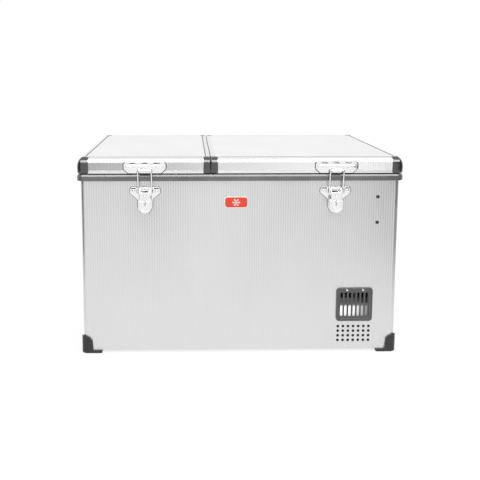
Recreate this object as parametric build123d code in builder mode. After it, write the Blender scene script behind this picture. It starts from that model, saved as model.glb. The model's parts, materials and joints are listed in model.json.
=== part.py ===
from build123d import *
import os
from math import cos, radians, sin

# Two-compartment compressor chest fridge with two lids, two draw latches and a drop handle at each end.
# Millimetres. X is the width, Y the depth (front at -Y), Z up. The origin is on the floor under the middle.

# ---- case ------------------------------------------------------------------------------------
CASE_W, CASE_D = 744.0, 490.0
CASE_X, CASE_Y = CASE_W / 2, CASE_D / 2
CASE_R = 9.0
SHEET = 1.0
SHEET_SEAM_Y, SHEET_SEAM = 235.0, 0.3
BASE_Z = 6.0
PAN_T, PAN_WALL_TOP, PAN_GAP, PARTITION_GAP = 1.2, 24.0, 0.2, 0.1
ROOM_X = 223.2
PARTITION_X = ROOM_X - PAN_T
FLANGE_TOP = 428.0

# ---- rim and lids ----------------------------------------------------------------------------
RIM_X, RIM_Y, RIM_R = 379.0, 252.0, 16.0
RIM_BOTTOM, RIM_TOP, RIM_ROUND = 418.0, 433.0, 5.0
LID_BOTTOM, LID_TOP, LID_ROUND = 435.5, 472.0, 14.0
LID_CORNER_R = 17.0
SEAM_X, SEAM_GAP = -69.5, 1.0
FRAME_INSET = 0.8
GROOVE_Z, GROOVE_H, GROOVE_DEPTH = 440.7, 1.5, 1.0
PANEL_TOP, PANEL_T = 471.5, 1.0
RAIL, SEAM_RAIL, LEDGE = 21.0, 14.0, 3.0
CAP_OUTER, CAP_SEAM, CAP_DEPTH = 22.0, 16.0, 22.0

# ---- compartments ----------------------------------------------------------------------------
LINER_T, LINER_R, LINER_FLANGE = 1.5, 26.0, 18.0
LINER_FLOOR, LINER_Y, LINER_FILLET = 60.0, 199.0, 12.0
LINERS = {"left": (-326.0, -92.0), "right": (-48.0, 182.0)}
EVAPORATOR_T, EVAPORATOR_Z = 1.6, (170.0, 400.0)
PLUG_GAP, PLUG_BOTTOM, SKIN_Z = 12.0, 424.0, 440.0

# ---- latches, measured from each latch's own centre line -------------------------------------
LATCH_X = {"left": -222.0, "right": 222.0}
LEVER_PIVOT = (-249.5, 398.0)
BAIL_PIVOT = (-252.0, 387.0)
BAIL_TOP = (-262.0, 444.0)
BAIL_HALF, WIRE_R = 15.7, 2.0
LEVER_FACE, LEVER_T, LEVER_HALF, LEVER_NECK = -259.0, 1.7, 17.0, 12.5
LATCH_PIN_R, LATCH_RUN = 1.5, 0.05

# ---- hinges ----------------------------------------------------------------------------------
HINGE_Y, HINGE_Z = 258.0, 438.0
KNUCKLE_R, PIN_R, RUN = 5.5, 2.5, 0.06
HINGE_HALF, LID_KNUCKLE_HALF, KNUCKLE_GAP = 30.0, 13.0, 0.4
HINGES = {"left": (-318.0, -131.0), "right": (8.0, 303.0)}

# ---- drop handles ----------------------------------------------------------------------------
HANDLE_PIVOT_X, HANDLE_PIVOT_Z = 386.0, 366.0
HANDLE_HALF, HANDLE_DROP, HANDLE_ROD_R = 48.0, 50.0, 4.0
GRIP_R, GRIP_HALF = 8.5, 34.0
PLATE_T = 3.0

# ---- vents, screws and the control panel -----------------------------------------------------
GRILLE_X, GRILLE_Z = 273.7, 117.3
GRILLE_W, GRILLE_H, GRILLE_T = 86.6, 82.2, 3.5
SLOT_PITCH, SLOT_W, SLOT_COUNT = 9.93, 5.7, 7
SLOT_ROWS = ((87.8, 116.6), (120.0, 146.4))
VENT_X, VENT_Z, VENT_R = 273.0, 45.5, 3.4
VENT_PITCH_X, VENT_PITCH_Z = 12.25, 11.5
BRACKET_SCREW_X, BRACKET_SCREW_Z = 322.3, (317.0, 378.0)
GRILLE_SCREW_X, GRILLE_SCREW_Z = (255.3, 293.2), 153.6
BADGE_X, BADGE_Z, BADGE_W, BADGE_H = -9.8, 366.0, 55.0, 27.0
PANEL_Y, PANEL_Z, PANEL_W, PANEL_H = -162.0, 318.0, 120.0, 150.0
BUTTON_Z, BUTTON_PITCH, BUTTON_R = 277.0, 24.0, 6.0
BUTTONS = ("power_button", "set_button", "down_button", "up_button")
SOCKET_Z, DC_Y, AC_Y = 200.0, -190.0, -136.0
SIDE_GRILLE_Z, SIDE_GRILLE_W, SIDE_GRILLE_H = 92.0, 190.0, 100.0

# ---- machine room ----------------------------------------------------------------------------
ROOM_MID = 297.0
COMPRESSOR_Y, COMPRESSOR_Z = 70.0, 20.0
FIN_COUNT, FIN_PITCH, FIN_T, FIN_X = 24, 4.8, 0.6, 238.0
FIN_Y, FIN_D, FIN_Z, FIN_H = -217.0, 38.0, 70.0, 96.0
TUBE_R, TUBE_PITCH_Z, TUBE_ROWS, TUBE_PITCH_Y = 3.2, 16.0, 6, 19.0
FAN_Y, FAN_Z, FAN_SIZE, FAN_DEPTH, FAN_BORE = -194.0, 84.0, 118.0, 25.0, 56.0
BLADES, BLADE_TIP, BLADE_PITCH = 7, 53.0, 38.0

os.makedirs("parts", exist_ok=True)


def save(part, name):
    """Labels one finished node and writes it as its own STEP file."""
    part.label = name
    export_step(part, f"parts/{name}.step")
    return part


def front(distance=CASE_Y):
    """A sketch plane facing the user, X to the right and Z up, at Y = -distance."""
    return Plane.XZ.offset(distance)


def front_at(x, z, distance=CASE_Y):
    """The front plane with its origin moved to a point on the front face."""
    return Plane((x, -distance, z), x_dir=(1, 0, 0), z_dir=(0, -1, 0))


def end_plane(x):
    """A sketch plane facing +X, with Y to the right and Z up."""
    return Plane.YZ.offset(x)


def prism(plane, points, amount):
    """A prism from a closed list of corners drawn on a plane."""
    with BuildPart() as body:
        with BuildSketch(plane):
            with BuildLine():
                Polyline(*points, close=True)
            make_face()
        extrude(amount=amount)
    return body.part


def ring(plane, centre, outer, inner, amount):
    """A round bar, or a sleeve when it has an inner radius, drawn on a plane at a centre."""
    with BuildPart() as body:
        with BuildSketch(plane):
            with Locations(centre):
                Circle(outer)
                if inner:
                    Circle(inner, mode=Mode.SUBTRACT)
        extrude(amount=amount)
    return body.part


def lid_span(side):
    """The two X ends of a lid, the outer end first."""
    if side == "left":
        return -RIM_X, SEAM_X - SEAM_GAP / 2
    return RIM_X, SEAM_X + SEAM_GAP / 2


def lid_outline(side, inset, seam_inset, radius):
    """A lid-shaped sketch in the current plane, set in from the three outer sides and from the seam."""
    outer, seam = lid_span(side)
    away = 1 if outer > seam else -1
    x_outer, x_seam = outer - away * inset, seam + away * seam_inset
    with BuildSketch(mode=Mode.PRIVATE) as outline:
        with Locations(((x_outer + x_seam) / 2, 0)):
            Rectangle(abs(x_outer - x_seam), 2 * (RIM_Y - inset))
        if radius:
            corners = outline.vertices().group_by(Axis.X)[-1 if away > 0 else 0]
            fillet(corners, radius)
    return outline.sketch


# ---- fasteners come first, because the pieces that they hold are bored to fit them -----------


def screw(plane, head_r, head_h, shank_r, shank_l):
    """A pan-head screw at a plane's origin, head outside and shank inside."""
    with BuildPart() as one:
        with BuildSketch(plane):
            Circle(head_r)
        extrude(amount=head_h)
        rims = one.edges().filter_by(GeomType.CIRCLE)
        chamfer(rims.sort_by_distance(plane.origin + plane.z_dir * 2 * head_h)[0], head_h / 3)
        with BuildSketch(plane):
            Circle(shank_r)
        extrude(amount=-shank_l)
    return one.part


def make_body_screws():
    with BuildPart() as body_screws:
        for z in BRACKET_SCREW_Z:
            add(screw(front_at(BRACKET_SCREW_X, z), 4.0, 1.8, 2.0, 8.0))
        for x in GRILLE_SCREW_X:
            add(screw(front_at(x, GRILLE_SCREW_Z, CASE_Y + GRILLE_T), 2.8, 1.0, 1.5, 8.0))
        face = CASE_X + PLATE_T
        for y in (PANEL_Y - PANEL_W / 2 + 7, PANEL_Y + PANEL_W / 2 - 7):
            for z in (PANEL_Z - PANEL_H / 2 + 7, PANEL_Z + PANEL_H / 2 - 7):
                add(screw(Plane((face, y, z), x_dir=(0, 1, 0), z_dir=(1, 0, 0)), 3.0, 1.2, 1.5, 8.0))
        for away in (1, -1):
            for y in (-58.0, 58.0):
                for z in (HANDLE_PIVOT_Z - 60.0, HANDLE_PIVOT_Z + 16.0):
                    seat = Plane((away * face, y, z), x_dir=(0, away, 0), z_dir=(away, 0, 0))
                    add(screw(seat, 4.0, 1.6, 2.0, 10.0))
    return body_screws.part


body_screws = save(make_body_screws(), "body_screws")


# ---- case ------------------------------------------------------------------------------------


def vent_holes():
    """The punched field of round holes, in the current sketch."""
    with Locations((VENT_X, VENT_Z)):
        with GridLocations(VENT_PITCH_X, VENT_PITCH_Z, 7, 4):
            Circle(VENT_R)


def make_outer_shell():
    """Four panels: a front and a back that bend round the upright corners, and two flat ends between them."""
    with BuildPart() as shell:
        with BuildSketch(Plane.XY.offset(BASE_Z)):
            RectangleRounded(CASE_W, CASE_D, CASE_R)
            RectangleRounded(CASE_W - 2 * SHEET, CASE_D - 2 * SHEET, CASE_R - SHEET, mode=Mode.SUBTRACT)
        extrude(amount=FLANGE_TOP - BASE_Z)
        with BuildSketch(front(CASE_Y + 1)):
            vent_holes()
            with Locations((GRILLE_X, GRILLE_Z - 1.5)):
                RectangleRounded(72, 64, 3)
        extrude(amount=-4, mode=Mode.SUBTRACT)
        with BuildSketch(front(-CASE_Y - 1)):
            vent_holes()
            with Locations((VENT_X, VENT_Z + 60)), GridLocations(0, 11, 1, 6):
                SlotOverall(80, 5)
        extrude(amount=4, mode=Mode.SUBTRACT)
        with BuildSketch(end_plane(CASE_X + 1)):
            with Locations((PANEL_Y, PANEL_Z + 2)):
                Rectangle(PANEL_W - 28, PANEL_H - 34)
            with Locations((DC_Y, SOCKET_Z)):
                Circle(13.5)
            with Locations((AC_Y, SOCKET_Z)):
                Rectangle(28.5, 22.5)
            with Locations((0, SIDE_GRILLE_Z)):
                RectangleRounded(SIDE_GRILLE_W - 24, SIDE_GRILLE_H - 24, 4)
        extrude(amount=-4, mode=Mode.SUBTRACT)
        with BuildSketch(Plane.XY.offset(BASE_Z)):
            with GridLocations(CASE_W, 2 * SHEET_SEAM_Y, 2, 2):
                Rectangle(4 * SHEET, SHEET_SEAM)
        extrude(amount=FLANGE_TOP - BASE_Z, mode=Mode.SUBTRACT)
        add(body_screws, mode=Mode.SUBTRACT)
    return shell.part


def make_base_pan():
    """Folded tray under the case, with the partition that closes off the machine room."""
    width, depth = CASE_W - 2 * (SHEET + PAN_GAP), CASE_D - 2 * (SHEET + PAN_GAP)
    radius = CASE_R - SHEET - PAN_GAP
    with BuildPart() as pan:
        with BuildSketch(Plane.XY.offset(BASE_Z)):
            RectangleRounded(width, depth, radius)
        extrude(amount=PAN_WALL_TOP - BASE_Z)
        with BuildSketch(Plane.XY.offset(BASE_Z + PAN_T)):
            RectangleRounded(width - 2 * PAN_T, depth - 2 * PAN_T, radius - PAN_T)
        extrude(amount=PAN_WALL_TOP, mode=Mode.SUBTRACT)
        with BuildSketch(Plane.XY.offset(BASE_Z + PAN_T + PARTITION_GAP)):
            with Locations((PARTITION_X + PAN_T / 2, 0)):
                Rectangle(PAN_T, depth - 2 * (PAN_T + PARTITION_GAP))
        extrude(amount=FLANGE_TOP - LINER_T - BASE_Z - PAN_T - PARTITION_GAP)
        with BuildSketch(Plane.XY.offset(BASE_Z)):
            with Locations((ROOM_MID, 70)), GridLocations(0, 18, 1, 7):
                SlotOverall(70, 6)
        extrude(amount=PAN_T, mode=Mode.SUBTRACT)
    return pan.part


def liner_block(side, grow, bottom, top, radius_extra):
    """The closed outside shape of a liner, grown by some millimetres, from bottom to top."""
    x0, x1 = LINERS[side]
    with BuildPart() as block:
        with BuildSketch(Plane.XY.offset(bottom)):
            with Locations(((x0 + x1) / 2, 0)):
                RectangleRounded(x1 - x0 + 2 * grow, 2 * (LINER_Y + grow), LINER_R + grow)
        extrude(amount=top - bottom)
        if radius_extra is not None:
            fillet(block.faces().sort_by(Axis.Z)[0].edges(), LINER_FILLET + radius_extra)
    return block.part


def make_liner(side):
    x0, x1 = LINERS[side]
    with BuildPart() as liner:
        add(liner_block(side, LINER_T, LINER_FLOOR - LINER_T, FLANGE_TOP, LINER_T))
        with BuildSketch(Plane.XY.offset(FLANGE_TOP - LINER_T)):
            with Locations(((x0 + x1) / 2, 0)):
                RectangleRounded(
                    x1 - x0 + 2 * LINER_FLANGE, 2 * (LINER_Y + LINER_FLANGE), LINER_R + LINER_FLANGE
                )
        extrude(amount=LINER_T)
        add(liner_block(side, 0, LINER_FLOOR, FLANGE_TOP, 0), mode=Mode.SUBTRACT)
    return liner.part


def make_cold_plate(side):
    """A cold plate round three sides of a liner, left open on the divider side."""
    low, high = EVAPORATOR_Z
    gap_x = LINERS[side][1 if side == "left" else 0]
    with BuildPart() as plate:
        add(liner_block(side, LINER_T + EVAPORATOR_T, low, high, None))
        add(liner_block(side, LINER_T, low, high, None), mode=Mode.SUBTRACT)
        with BuildSketch(Plane.XY.offset(low)):
            with Locations((gap_x, 0)):
                Rectangle(40, 2 * LINER_Y - 60)
        extrude(amount=high - low, mode=Mode.SUBTRACT)
    return plate.part


def make_evaporators():
    with BuildPart() as plates:
        for side in LINERS:
            add(make_cold_plate(side))
    return plates.part


def make_foam(evaporators):
    left = -CASE_X + SHEET
    half_d = CASE_Y - SHEET
    step = PAN_GAP + PAN_T + 0.2
    with BuildPart() as foam:
        with BuildSketch(Plane.XY.offset(BASE_Z + PAN_T)) as low:
            with Locations(((left + step + PARTITION_X) / 2, 0)):
                Rectangle(PARTITION_X - left - step, 2 * (half_d - step))
            fillet(low.vertices().group_by(Axis.X)[0], CASE_R - SHEET - step)
        extrude(amount=PAN_WALL_TOP + 0.5 - BASE_Z - PAN_T)
        with BuildSketch(Plane.XY.offset(PAN_WALL_TOP + 0.5)) as high:
            with Locations(((left + PARTITION_X) / 2, 0)):
                Rectangle(PARTITION_X - left, 2 * half_d)
            fillet(high.vertices().group_by(Axis.X)[0], CASE_R - SHEET)
        extrude(amount=FLANGE_TOP - LINER_T - PAN_WALL_TOP - 0.5)
        for side in LINERS:
            block = liner_block(side, LINER_T, LINER_FLOOR - LINER_T, FLANGE_TOP + 1, LINER_T)
            add(block, mode=Mode.SUBTRACT)
        add(evaporators, mode=Mode.SUBTRACT)
        add(body_screws, mode=Mode.SUBTRACT)
    return foam.part


def make_top_rim():
    """Moulded frame that caps the case walls and runs between the two compartments."""
    with BuildPart() as rim:
        with BuildSketch(Plane.XY.offset(RIM_BOTTOM)):
            RectangleRounded(2 * RIM_X, 2 * RIM_Y, RIM_R)
        extrude(amount=RIM_TOP - RIM_BOTTOM)
        fillet(rim.faces().sort_by(Axis.Z)[-1].edges(), RIM_ROUND)
        fillet(rim.faces().sort_by(Axis.Z)[0].edges(), 1.5)
        with BuildSketch(Plane.XY.offset(RIM_BOTTOM)):
            RectangleRounded(CASE_W, CASE_D, CASE_R)
        extrude(amount=FLANGE_TOP - RIM_BOTTOM, mode=Mode.SUBTRACT)
        with BuildSketch(Plane.XY.offset(FLANGE_TOP)):
            for x0, x1 in LINERS.values():
                with Locations(((x0 + x1) / 2, 0)):
                    RectangleRounded(x1 - x0, 2 * LINER_Y, LINER_R)
        extrude(amount=RIM_TOP - FLANGE_TOP, mode=Mode.SUBTRACT)
    return rim.part


def make_corner_feet():
    """Moulded corner guards: two walls round the case's bottom corner and a pad under it."""
    proud, height, pad, wrap = 4.5, 44.0, 48.5, 8.0
    wide_low, wide_high, shoulder_z = 28.5, 25.0, 30.0
    x0, y0 = -CASE_X - proud, -CASE_Y - proud

    with BuildSketch() as profile:
        with BuildLine():
            Polyline((0, 0), (wide_low, 0), (wide_high, shoulder_z))
            ThreePointArc((wide_high, shoulder_z), (20, 37.3), (7, height - 1.5))
            Polyline((7, height - 1.5), (0, height), (0, 0))
        make_face()
    front_wall = Plane((x0, y0, 0), x_dir=(1, 0, 0), z_dir=(0, -1, 0)) * profile.sketch
    end_wall = Plane((x0, y0, 0), x_dir=(0, 1, 0), z_dir=(1, 0, 0)) * profile.sketch
    with BuildPart() as foot:
        extrude(front_wall, amount=-wrap)
        extrude(end_wall, amount=wrap)
        with BuildSketch(Plane.XY) as ground:
            with Locations((x0 + pad / 2, y0 + pad / 2)):
                Rectangle(pad, pad)
            fillet(ground.vertices().sort_by_distance((x0 + pad, y0 + pad))[0], 14)
        extrude(amount=BASE_Z)
        with BuildSketch(Plane.XY) as corner:
            with Locations((x0 + pad / 2, y0 + pad / 2)):
                Rectangle(pad, pad)
            fillet(corner.vertices().sort_by_distance((x0, y0))[0], CASE_R + proud)
        extrude(amount=height, mode=Mode.INTERSECT)
        with BuildSketch(Plane.XY.offset(BASE_Z)):
            RectangleRounded(CASE_W, CASE_D, CASE_R)
        extrude(amount=height, mode=Mode.SUBTRACT)
        chamfer(foot.faces().sort_by(Axis.Z)[0].edges(), 1.5)
    with BuildPart() as feet:
        add(foot.part)
        mirror(foot.part, about=Plane.YZ)
        mirror(feet.part, about=Plane.XZ)
    return feet.part


outer_shell = save(make_outer_shell(), "outer_shell")
base_pan = save(make_base_pan(), "base_pan")
evaporators = save(make_evaporators(), "evaporators")
insulation_foam = save(make_foam(evaporators), "insulation_foam")
top_rim = save(make_top_rim(), "top_rim")
corner_feet = save(make_corner_feet(), "corner_feet")
for side in LINERS:
    save(make_liner(side), f"{side}_liner")


# ---- baskets ---------------------------------------------------------------------------------


def rounded_tub(middle, width, depth, radius, bottom, top, bottom_r):
    """A solid block with rounded upright and bottom edges."""
    with BuildPart() as tub:
        with BuildSketch(Plane.XY.offset(bottom)):
            with Locations((middle, 0)):
                RectangleRounded(width, depth, radius)
        extrude(amount=top - bottom)
        fillet(tub.faces().sort_by(Axis.Z)[0].edges(), bottom_r)
    return tub.part


def make_basket(side):
    """Open-topped lattice basket: a tray, four walls and bent corner strips, all touching."""
    gap, wall, floor, top, radius, floor_r = 4.0, 3.0, LINER_FLOOR + 0.4, 330.0, 22.0, 12.0
    x0, x1 = LINERS[side]
    x0, x1, half_y = x0 + gap, x1 - gap, LINER_Y - gap
    middle, width = (x0 + x1) / 2, x1 - x0
    columns_x, columns_y, rows, bar = 4, 6, 4, 5.0
    step_x, step_y = (width - 2 * radius) / columns_x, (2 * half_y - 2 * radius) / columns_y
    step_z = (top - floor - 2 * radius) / rows
    z_mid = (floor + top) / 2
    with BuildPart() as basket:
        add(rounded_tub(middle, width, 2 * half_y, radius, floor, top, floor_r))
        hollow = rounded_tub(
            middle, width - 2 * wall, 2 * (half_y - wall), radius - wall, floor + wall, top + 1, floor_r - wall
        )
        add(hollow, mode=Mode.SUBTRACT)
        with BuildSketch(Plane.XZ.offset(-half_y - 1)):
            with Locations((middle, z_mid)), GridLocations(step_x, step_z, columns_x, rows):
                Rectangle(step_x - bar, step_z - bar)
        extrude(amount=2 * half_y + 2, mode=Mode.SUBTRACT)
        with BuildSketch(Plane.YZ.offset(x0 - 1)):
            with Locations((0, z_mid)), GridLocations(step_y, step_z, columns_y, rows):
                Rectangle(step_y - bar, step_z - bar)
        extrude(amount=width + 2, mode=Mode.SUBTRACT)
        with BuildSketch(Plane.XY.offset(floor - 1)):
            with Locations((middle, 0)), GridLocations(step_x, step_y, columns_x, columns_y):
                Rectangle(step_x - bar, step_y - bar)
        extrude(amount=wall + 2, mode=Mode.SUBTRACT)
    above_floor = Plane.XY.offset(floor + floor_r)
    tray = split(basket.part, bisect_by=above_floor, keep=Keep.BOTTOM)
    walls = split(basket.part, bisect_by=above_floor, keep=Keep.TOP)
    for inset in (radius, radius / 3):
        for away in (-1, 1):
            cut_x = middle + away * (width / 2 - inset)
            walls = split(walls, bisect_by=Plane.YZ.offset(cut_x), keep=Keep.BOTH)
    for away in (-1, 1):
        walls = split(walls, bisect_by=Plane.XZ.offset(away * (half_y - radius)), keep=Keep.BOTH)
    return Compound([*tray.solids(), *walls.solids()])


for side in LINERS:
    save(make_basket(side), f"{side}_basket")


# ---- machine room ----------------------------------------------------------------------------


def make_compressor():
    length, width, seam_z = 176.0, 116.0, COMPRESSOR_Z + 62.0
    with BuildPart() as compressor:
        with BuildSketch(Plane.XY.offset(COMPRESSOR_Z + 3)):
            with Locations((ROOM_MID, COMPRESSOR_Y)):
                RectangleRounded(width, length, 54)
        extrude(amount=122)
        fillet(compressor.faces().sort_by(Axis.Z)[-1].edges(), 36)
        fillet(compressor.faces().sort_by(Axis.Z)[0].edges(), 14)
        with BuildSketch(Plane.XY.offset(seam_z)):
            with Locations((ROOM_MID, COMPRESSOR_Y)):
                RectangleRounded(width + 5, length + 5, 56)
        extrude(amount=5)
        with BuildSketch(Plane.XY.offset(COMPRESSOR_Z)):
            with Locations((ROOM_MID, COMPRESSOR_Y)):
                RectangleRounded(126, 200, 10)
                with GridLocations(102, 176, 2, 2):
                    Circle(4, mode=Mode.SUBTRACT)
        extrude(amount=3)
    return compressor.part


def make_grommets():
    with BuildPart() as grommets:
        with BuildSketch(Plane.XY.offset(BASE_Z + PAN_T)):
            with Locations((ROOM_MID, COMPRESSOR_Y)), GridLocations(102, 176, 2, 2):
                Circle(10)
        extrude(amount=COMPRESSOR_Z - BASE_Z - PAN_T)
        with BuildSketch(Plane.XY.offset(COMPRESSOR_Z)):
            with Locations((ROOM_MID, COMPRESSOR_Y)), GridLocations(102, 176, 2, 2):
                Circle(3.9)
        extrude(amount=7)
    return grommets.part


def make_controller():
    """Motor drive with cooling fins, fixed to the inside of the rear wall."""
    back, depth = CASE_Y - SHEET, 30.0
    with BuildPart() as controller:
        with BuildSketch(front(-back)):
            with Locations((ROOM_MID, 95)):
                RectangleRounded(96, 70, 3)
        extrude(amount=depth)
        with BuildSketch(front(-back + depth)):
            with Locations((ROOM_MID, 95)), GridLocations(8, 0, 11, 1):
                Rectangle(4.5, 60)
        extrude(amount=-9, mode=Mode.SUBTRACT)
    return controller.part


def tube_places():
    with Locations((FIN_Y, FIN_Z)):
        with GridLocations(TUBE_PITCH_Y, TUBE_PITCH_Z, 2, TUBE_ROWS):
            Circle(TUBE_R + 0.1, mode=Mode.SUBTRACT)


def make_condenser_fins():
    with BuildPart() as fins:
        for i in range(FIN_COUNT):
            with BuildSketch(end_plane(FIN_X + i * FIN_PITCH)):
                with Locations((FIN_Y, FIN_Z)):
                    Rectangle(FIN_D, FIN_H)
                tube_places()
            extrude(amount=FIN_T)
    return fins.part


def make_condenser_tube():
    """Two serpentines, one behind the other, that run to and fro through the fins."""
    bend = TUBE_PITCH_Z / 2
    left, right = FIN_X - 2, FIN_X + (FIN_COUNT - 1) * FIN_PITCH + 3
    low = FIN_Z - (TUBE_ROWS - 1) * TUBE_PITCH_Z / 2
    with BuildPart() as tube:
        for y in (FIN_Y - TUBE_PITCH_Y / 2, FIN_Y + TUBE_PITCH_Y / 2):
            with BuildLine(Plane.XZ.offset(-y)) as path:
                for row in range(TUBE_ROWS):
                    z = low + row * TUBE_PITCH_Z
                    start, end = (left, right) if row % 2 == 0 else (right, left)
                    Line((start, z), (end, z))
                    if row < TUBE_ROWS - 1:
                        arc_side = 1 if row % 2 == 0 else -1
                        CenterArc((end, z + bend), bend, -90, 180 * arc_side)
            with BuildSketch(Plane((left, y, low), z_dir=(1, 0, 0))):
                Circle(TUBE_R)
            sweep(path=path.wires()[0])
    return tube.part


def make_fan_frame():
    with BuildPart() as frame:
        with BuildSketch(front(-FAN_Y)):
            with Locations((ROOM_MID, FAN_Z)):
                RectangleRounded(FAN_SIZE, FAN_SIZE, 6)
                Circle(FAN_BORE, mode=Mode.SUBTRACT)
        extrude(amount=-FAN_DEPTH)
        with BuildSketch(front(-FAN_Y - FAN_DEPTH + 3)):
            with Locations((ROOM_MID, FAN_Z)):
                Circle(20)
                with PolarLocations(0, 4, start_angle=45):
                    with Locations((FAN_BORE / 2 + 4, 0)):
                        Rectangle(FAN_BORE, 6)
        extrude(amount=-3)
        with BuildSketch(front(-FAN_Y - FAN_DEPTH + 3)):
            with Locations((ROOM_MID, FAN_Z)):
                Circle(2.4)
        extrude(amount=10)
        with BuildSketch(Plane.XY.offset(BASE_Z + PAN_T)):
            for x in (ROOM_MID - 46, ROOM_MID + 46):
                with Locations((x, FAN_Y + FAN_DEPTH / 2)):
                    Rectangle(14, FAN_DEPTH)
        extrude(amount=FAN_Z - FAN_SIZE / 2 - BASE_Z - PAN_T + 1)
    return frame.part


def make_fan_rotor():
    hub_front = FAN_Y + 3.0
    with BuildPart() as rotor:
        with BuildSketch(front(-hub_front)):
            with Locations((ROOM_MID, FAN_Z)):
                Circle(20)
        extrude(amount=-17)
        fillet(rotor.faces().sort_by(Axis.Y)[0].edges(), 3)
        for i in range(BLADES):
            turn = radians(360 / BLADES * i)
            radial = Vector(cos(turn), 0, sin(turn))
            root = Vector(ROOM_MID, hub_front + 9, FAN_Z) + radial * 18
            around = Vector(-sin(turn), 0, cos(turn))
            lean = radians(BLADE_PITCH)
            along = around * cos(lean) + Vector(0, 1, 0) * sin(lean)
            with BuildSketch(Plane(origin=root, x_dir=along, z_dir=radial)):
                Rectangle(20, 1.4)
            extrude(amount=BLADE_TIP - 18)
        with BuildSketch(front(-hub_front - 17)):
            with Locations((ROOM_MID, FAN_Z)):
                Circle(2.4 + RUN)
        extrude(amount=9, mode=Mode.SUBTRACT)
    return rotor.part


def pipe(points, radius, bend):
    """A bent tube through a list of points."""
    with BuildPart() as run:
        with BuildLine() as path:
            FilletPolyline(*points, radius=bend)
        start = path.wires()[0]
        with BuildSketch(Plane(origin=start @ 0, z_dir=start % 0)):
            Circle(radius)
        sweep(path=start)
    return run.part


def make_refrigerant_lines():
    """Discharge, liquid and suction pipes, with the drier capsule brazed into the liquid line."""
    pipe_r, x_end, x_wall, drier_x, drier_y = 3.0, FIN_X - 2, 229.0, 338.0, -100.0
    y_front, y_back = FIN_Y - TUBE_PITCH_Y / 2, FIN_Y + TUBE_PITCH_Y / 2
    low = FIN_Z - (TUBE_ROWS - 1) * TUBE_PITCH_Z / 2
    high = low + (TUBE_ROWS - 1) * TUBE_PITCH_Z
    top = COMPRESSOR_Z + 125.0
    discharge = [(285, 40, top), (285, 40, 195), (x_wall, 40, 195), (x_wall, y_back, 195),
                 (x_wall, y_back, high), (x_end, y_back, high)]
    liquid = [(x_end, y_front, high), (x_wall, y_front, high), (x_wall, y_front, 160),
              (drier_x, y_front, 160), (drier_x, drier_y, 160), (drier_x, drier_y, 176)]
    capillary = [(drier_x, drier_y, 234), (drier_x, drier_y, 270), (drier_x, 60, 270), (ROOM_X, 60, 270)]
    suction = [(310, 100, top), (310, 100, 300), (ROOM_X, 100, 300)]
    link = [(x_end, y_front, low), (x_wall, y_front, low), (x_wall, y_back, low), (x_end, y_back, low)]
    with BuildPart() as lines:
        with BuildSketch(Plane.XY.offset(175)):
            with Locations((drier_x, drier_y)):
                Circle(10)
        extrude(amount=60)
        chamfer(lines.edges().filter_by(GeomType.CIRCLE), 5)
        add(pipe(discharge, pipe_r, (12, 12, 12, 6)))
        add(pipe(liquid, pipe_r, (6, 12, 12, 12)))
        add(pipe(capillary, 1.6, 12))
        add(pipe(suction, pipe_r + 1, 12))
        add(pipe(link, pipe_r, 6))
    return lines.part


def make_power_supply():
    """Mains converter on a folded bracket behind the upper front panel."""
    x0, x1, z0, z1 = 268.0, 340.0, 300.0, 395.0
    front_y, back_y = -CASE_Y + SHEET, -110.0
    with BuildPart() as supply:
        with BuildSketch(front(-front_y)):
            with Locations(((x0 + x1) / 2, (z0 + z1) / 2)):
                Rectangle(x1 - x0, z1 - z0)
        extrude(amount=-(back_y - front_y))
        with BuildSketch(Plane.XY.offset(z1)):
            with Locations(((x0 + x1) / 2, (front_y + back_y) / 2)), GridLocations(8, 0, 8, 1):
                Rectangle(4, 100)
        extrude(amount=-6, mode=Mode.SUBTRACT)
        add(body_screws, mode=Mode.SUBTRACT)
    return supply.part


save(make_compressor(), "compressor")
save(make_grommets(), "compressor_grommets")
save(make_controller(), "compressor_controller")
save(make_condenser_fins(), "condenser_fins")
save(make_condenser_tube(), "condenser_tube")
save(make_fan_frame(), "fan_frame")
save(make_fan_rotor(), "fan_rotor")
save(make_refrigerant_lines(), "refrigerant_lines")
save(make_power_supply(), "power_supply")


# ---- vents -----------------------------------------------------------------------------------


def make_front_grille():
    """Louvre plate with two rows of upright slots in a shallow recess."""
    with BuildPart() as grille:
        with BuildSketch(front()):
            with Locations((GRILLE_X, GRILLE_Z)):
                RectangleRounded(GRILLE_W, GRILLE_H, 8)
        extrude(amount=GRILLE_T)
        fillet(grille.faces().sort_by(Axis.Y)[0].edges(), 1.2)
        with BuildSketch(front(CASE_Y + GRILLE_T)):
            with Locations((GRILLE_X - 0.8, GRILLE_Z - 1.5)):
                RectangleRounded(70, 64, 3)
        extrude(amount=-1.5, mode=Mode.SUBTRACT)
        for low, high in SLOT_ROWS:
            with BuildSketch(front(CASE_Y + GRILLE_T)):
                with Locations((GRILLE_X - 0.8, (low + high) / 2)):
                    with GridLocations(SLOT_PITCH, 0, SLOT_COUNT, 1):
                        RectangleRounded(SLOT_W, high - low, 2)
            extrude(amount=-GRILLE_T, mode=Mode.SUBTRACT)
        add(body_screws, mode=Mode.SUBTRACT)
    return grille.part


def make_side_grille():
    with BuildPart() as grille:
        with BuildSketch(end_plane(CASE_X)):
            with Locations((0, SIDE_GRILLE_Z)):
                RectangleRounded(SIDE_GRILLE_W, SIDE_GRILLE_H, 8)
        extrude(amount=PLATE_T)
        fillet(grille.faces().sort_by(Axis.X)[-1].edges(), 1.2)
        with BuildSketch(end_plane(CASE_X)):
            with Locations((0, SIDE_GRILLE_Z)), GridLocations(82, 10.5, 2, 7):
                RectangleRounded(74, 6, 2)
        extrude(amount=PLATE_T, mode=Mode.SUBTRACT)
    return grille.part


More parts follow.
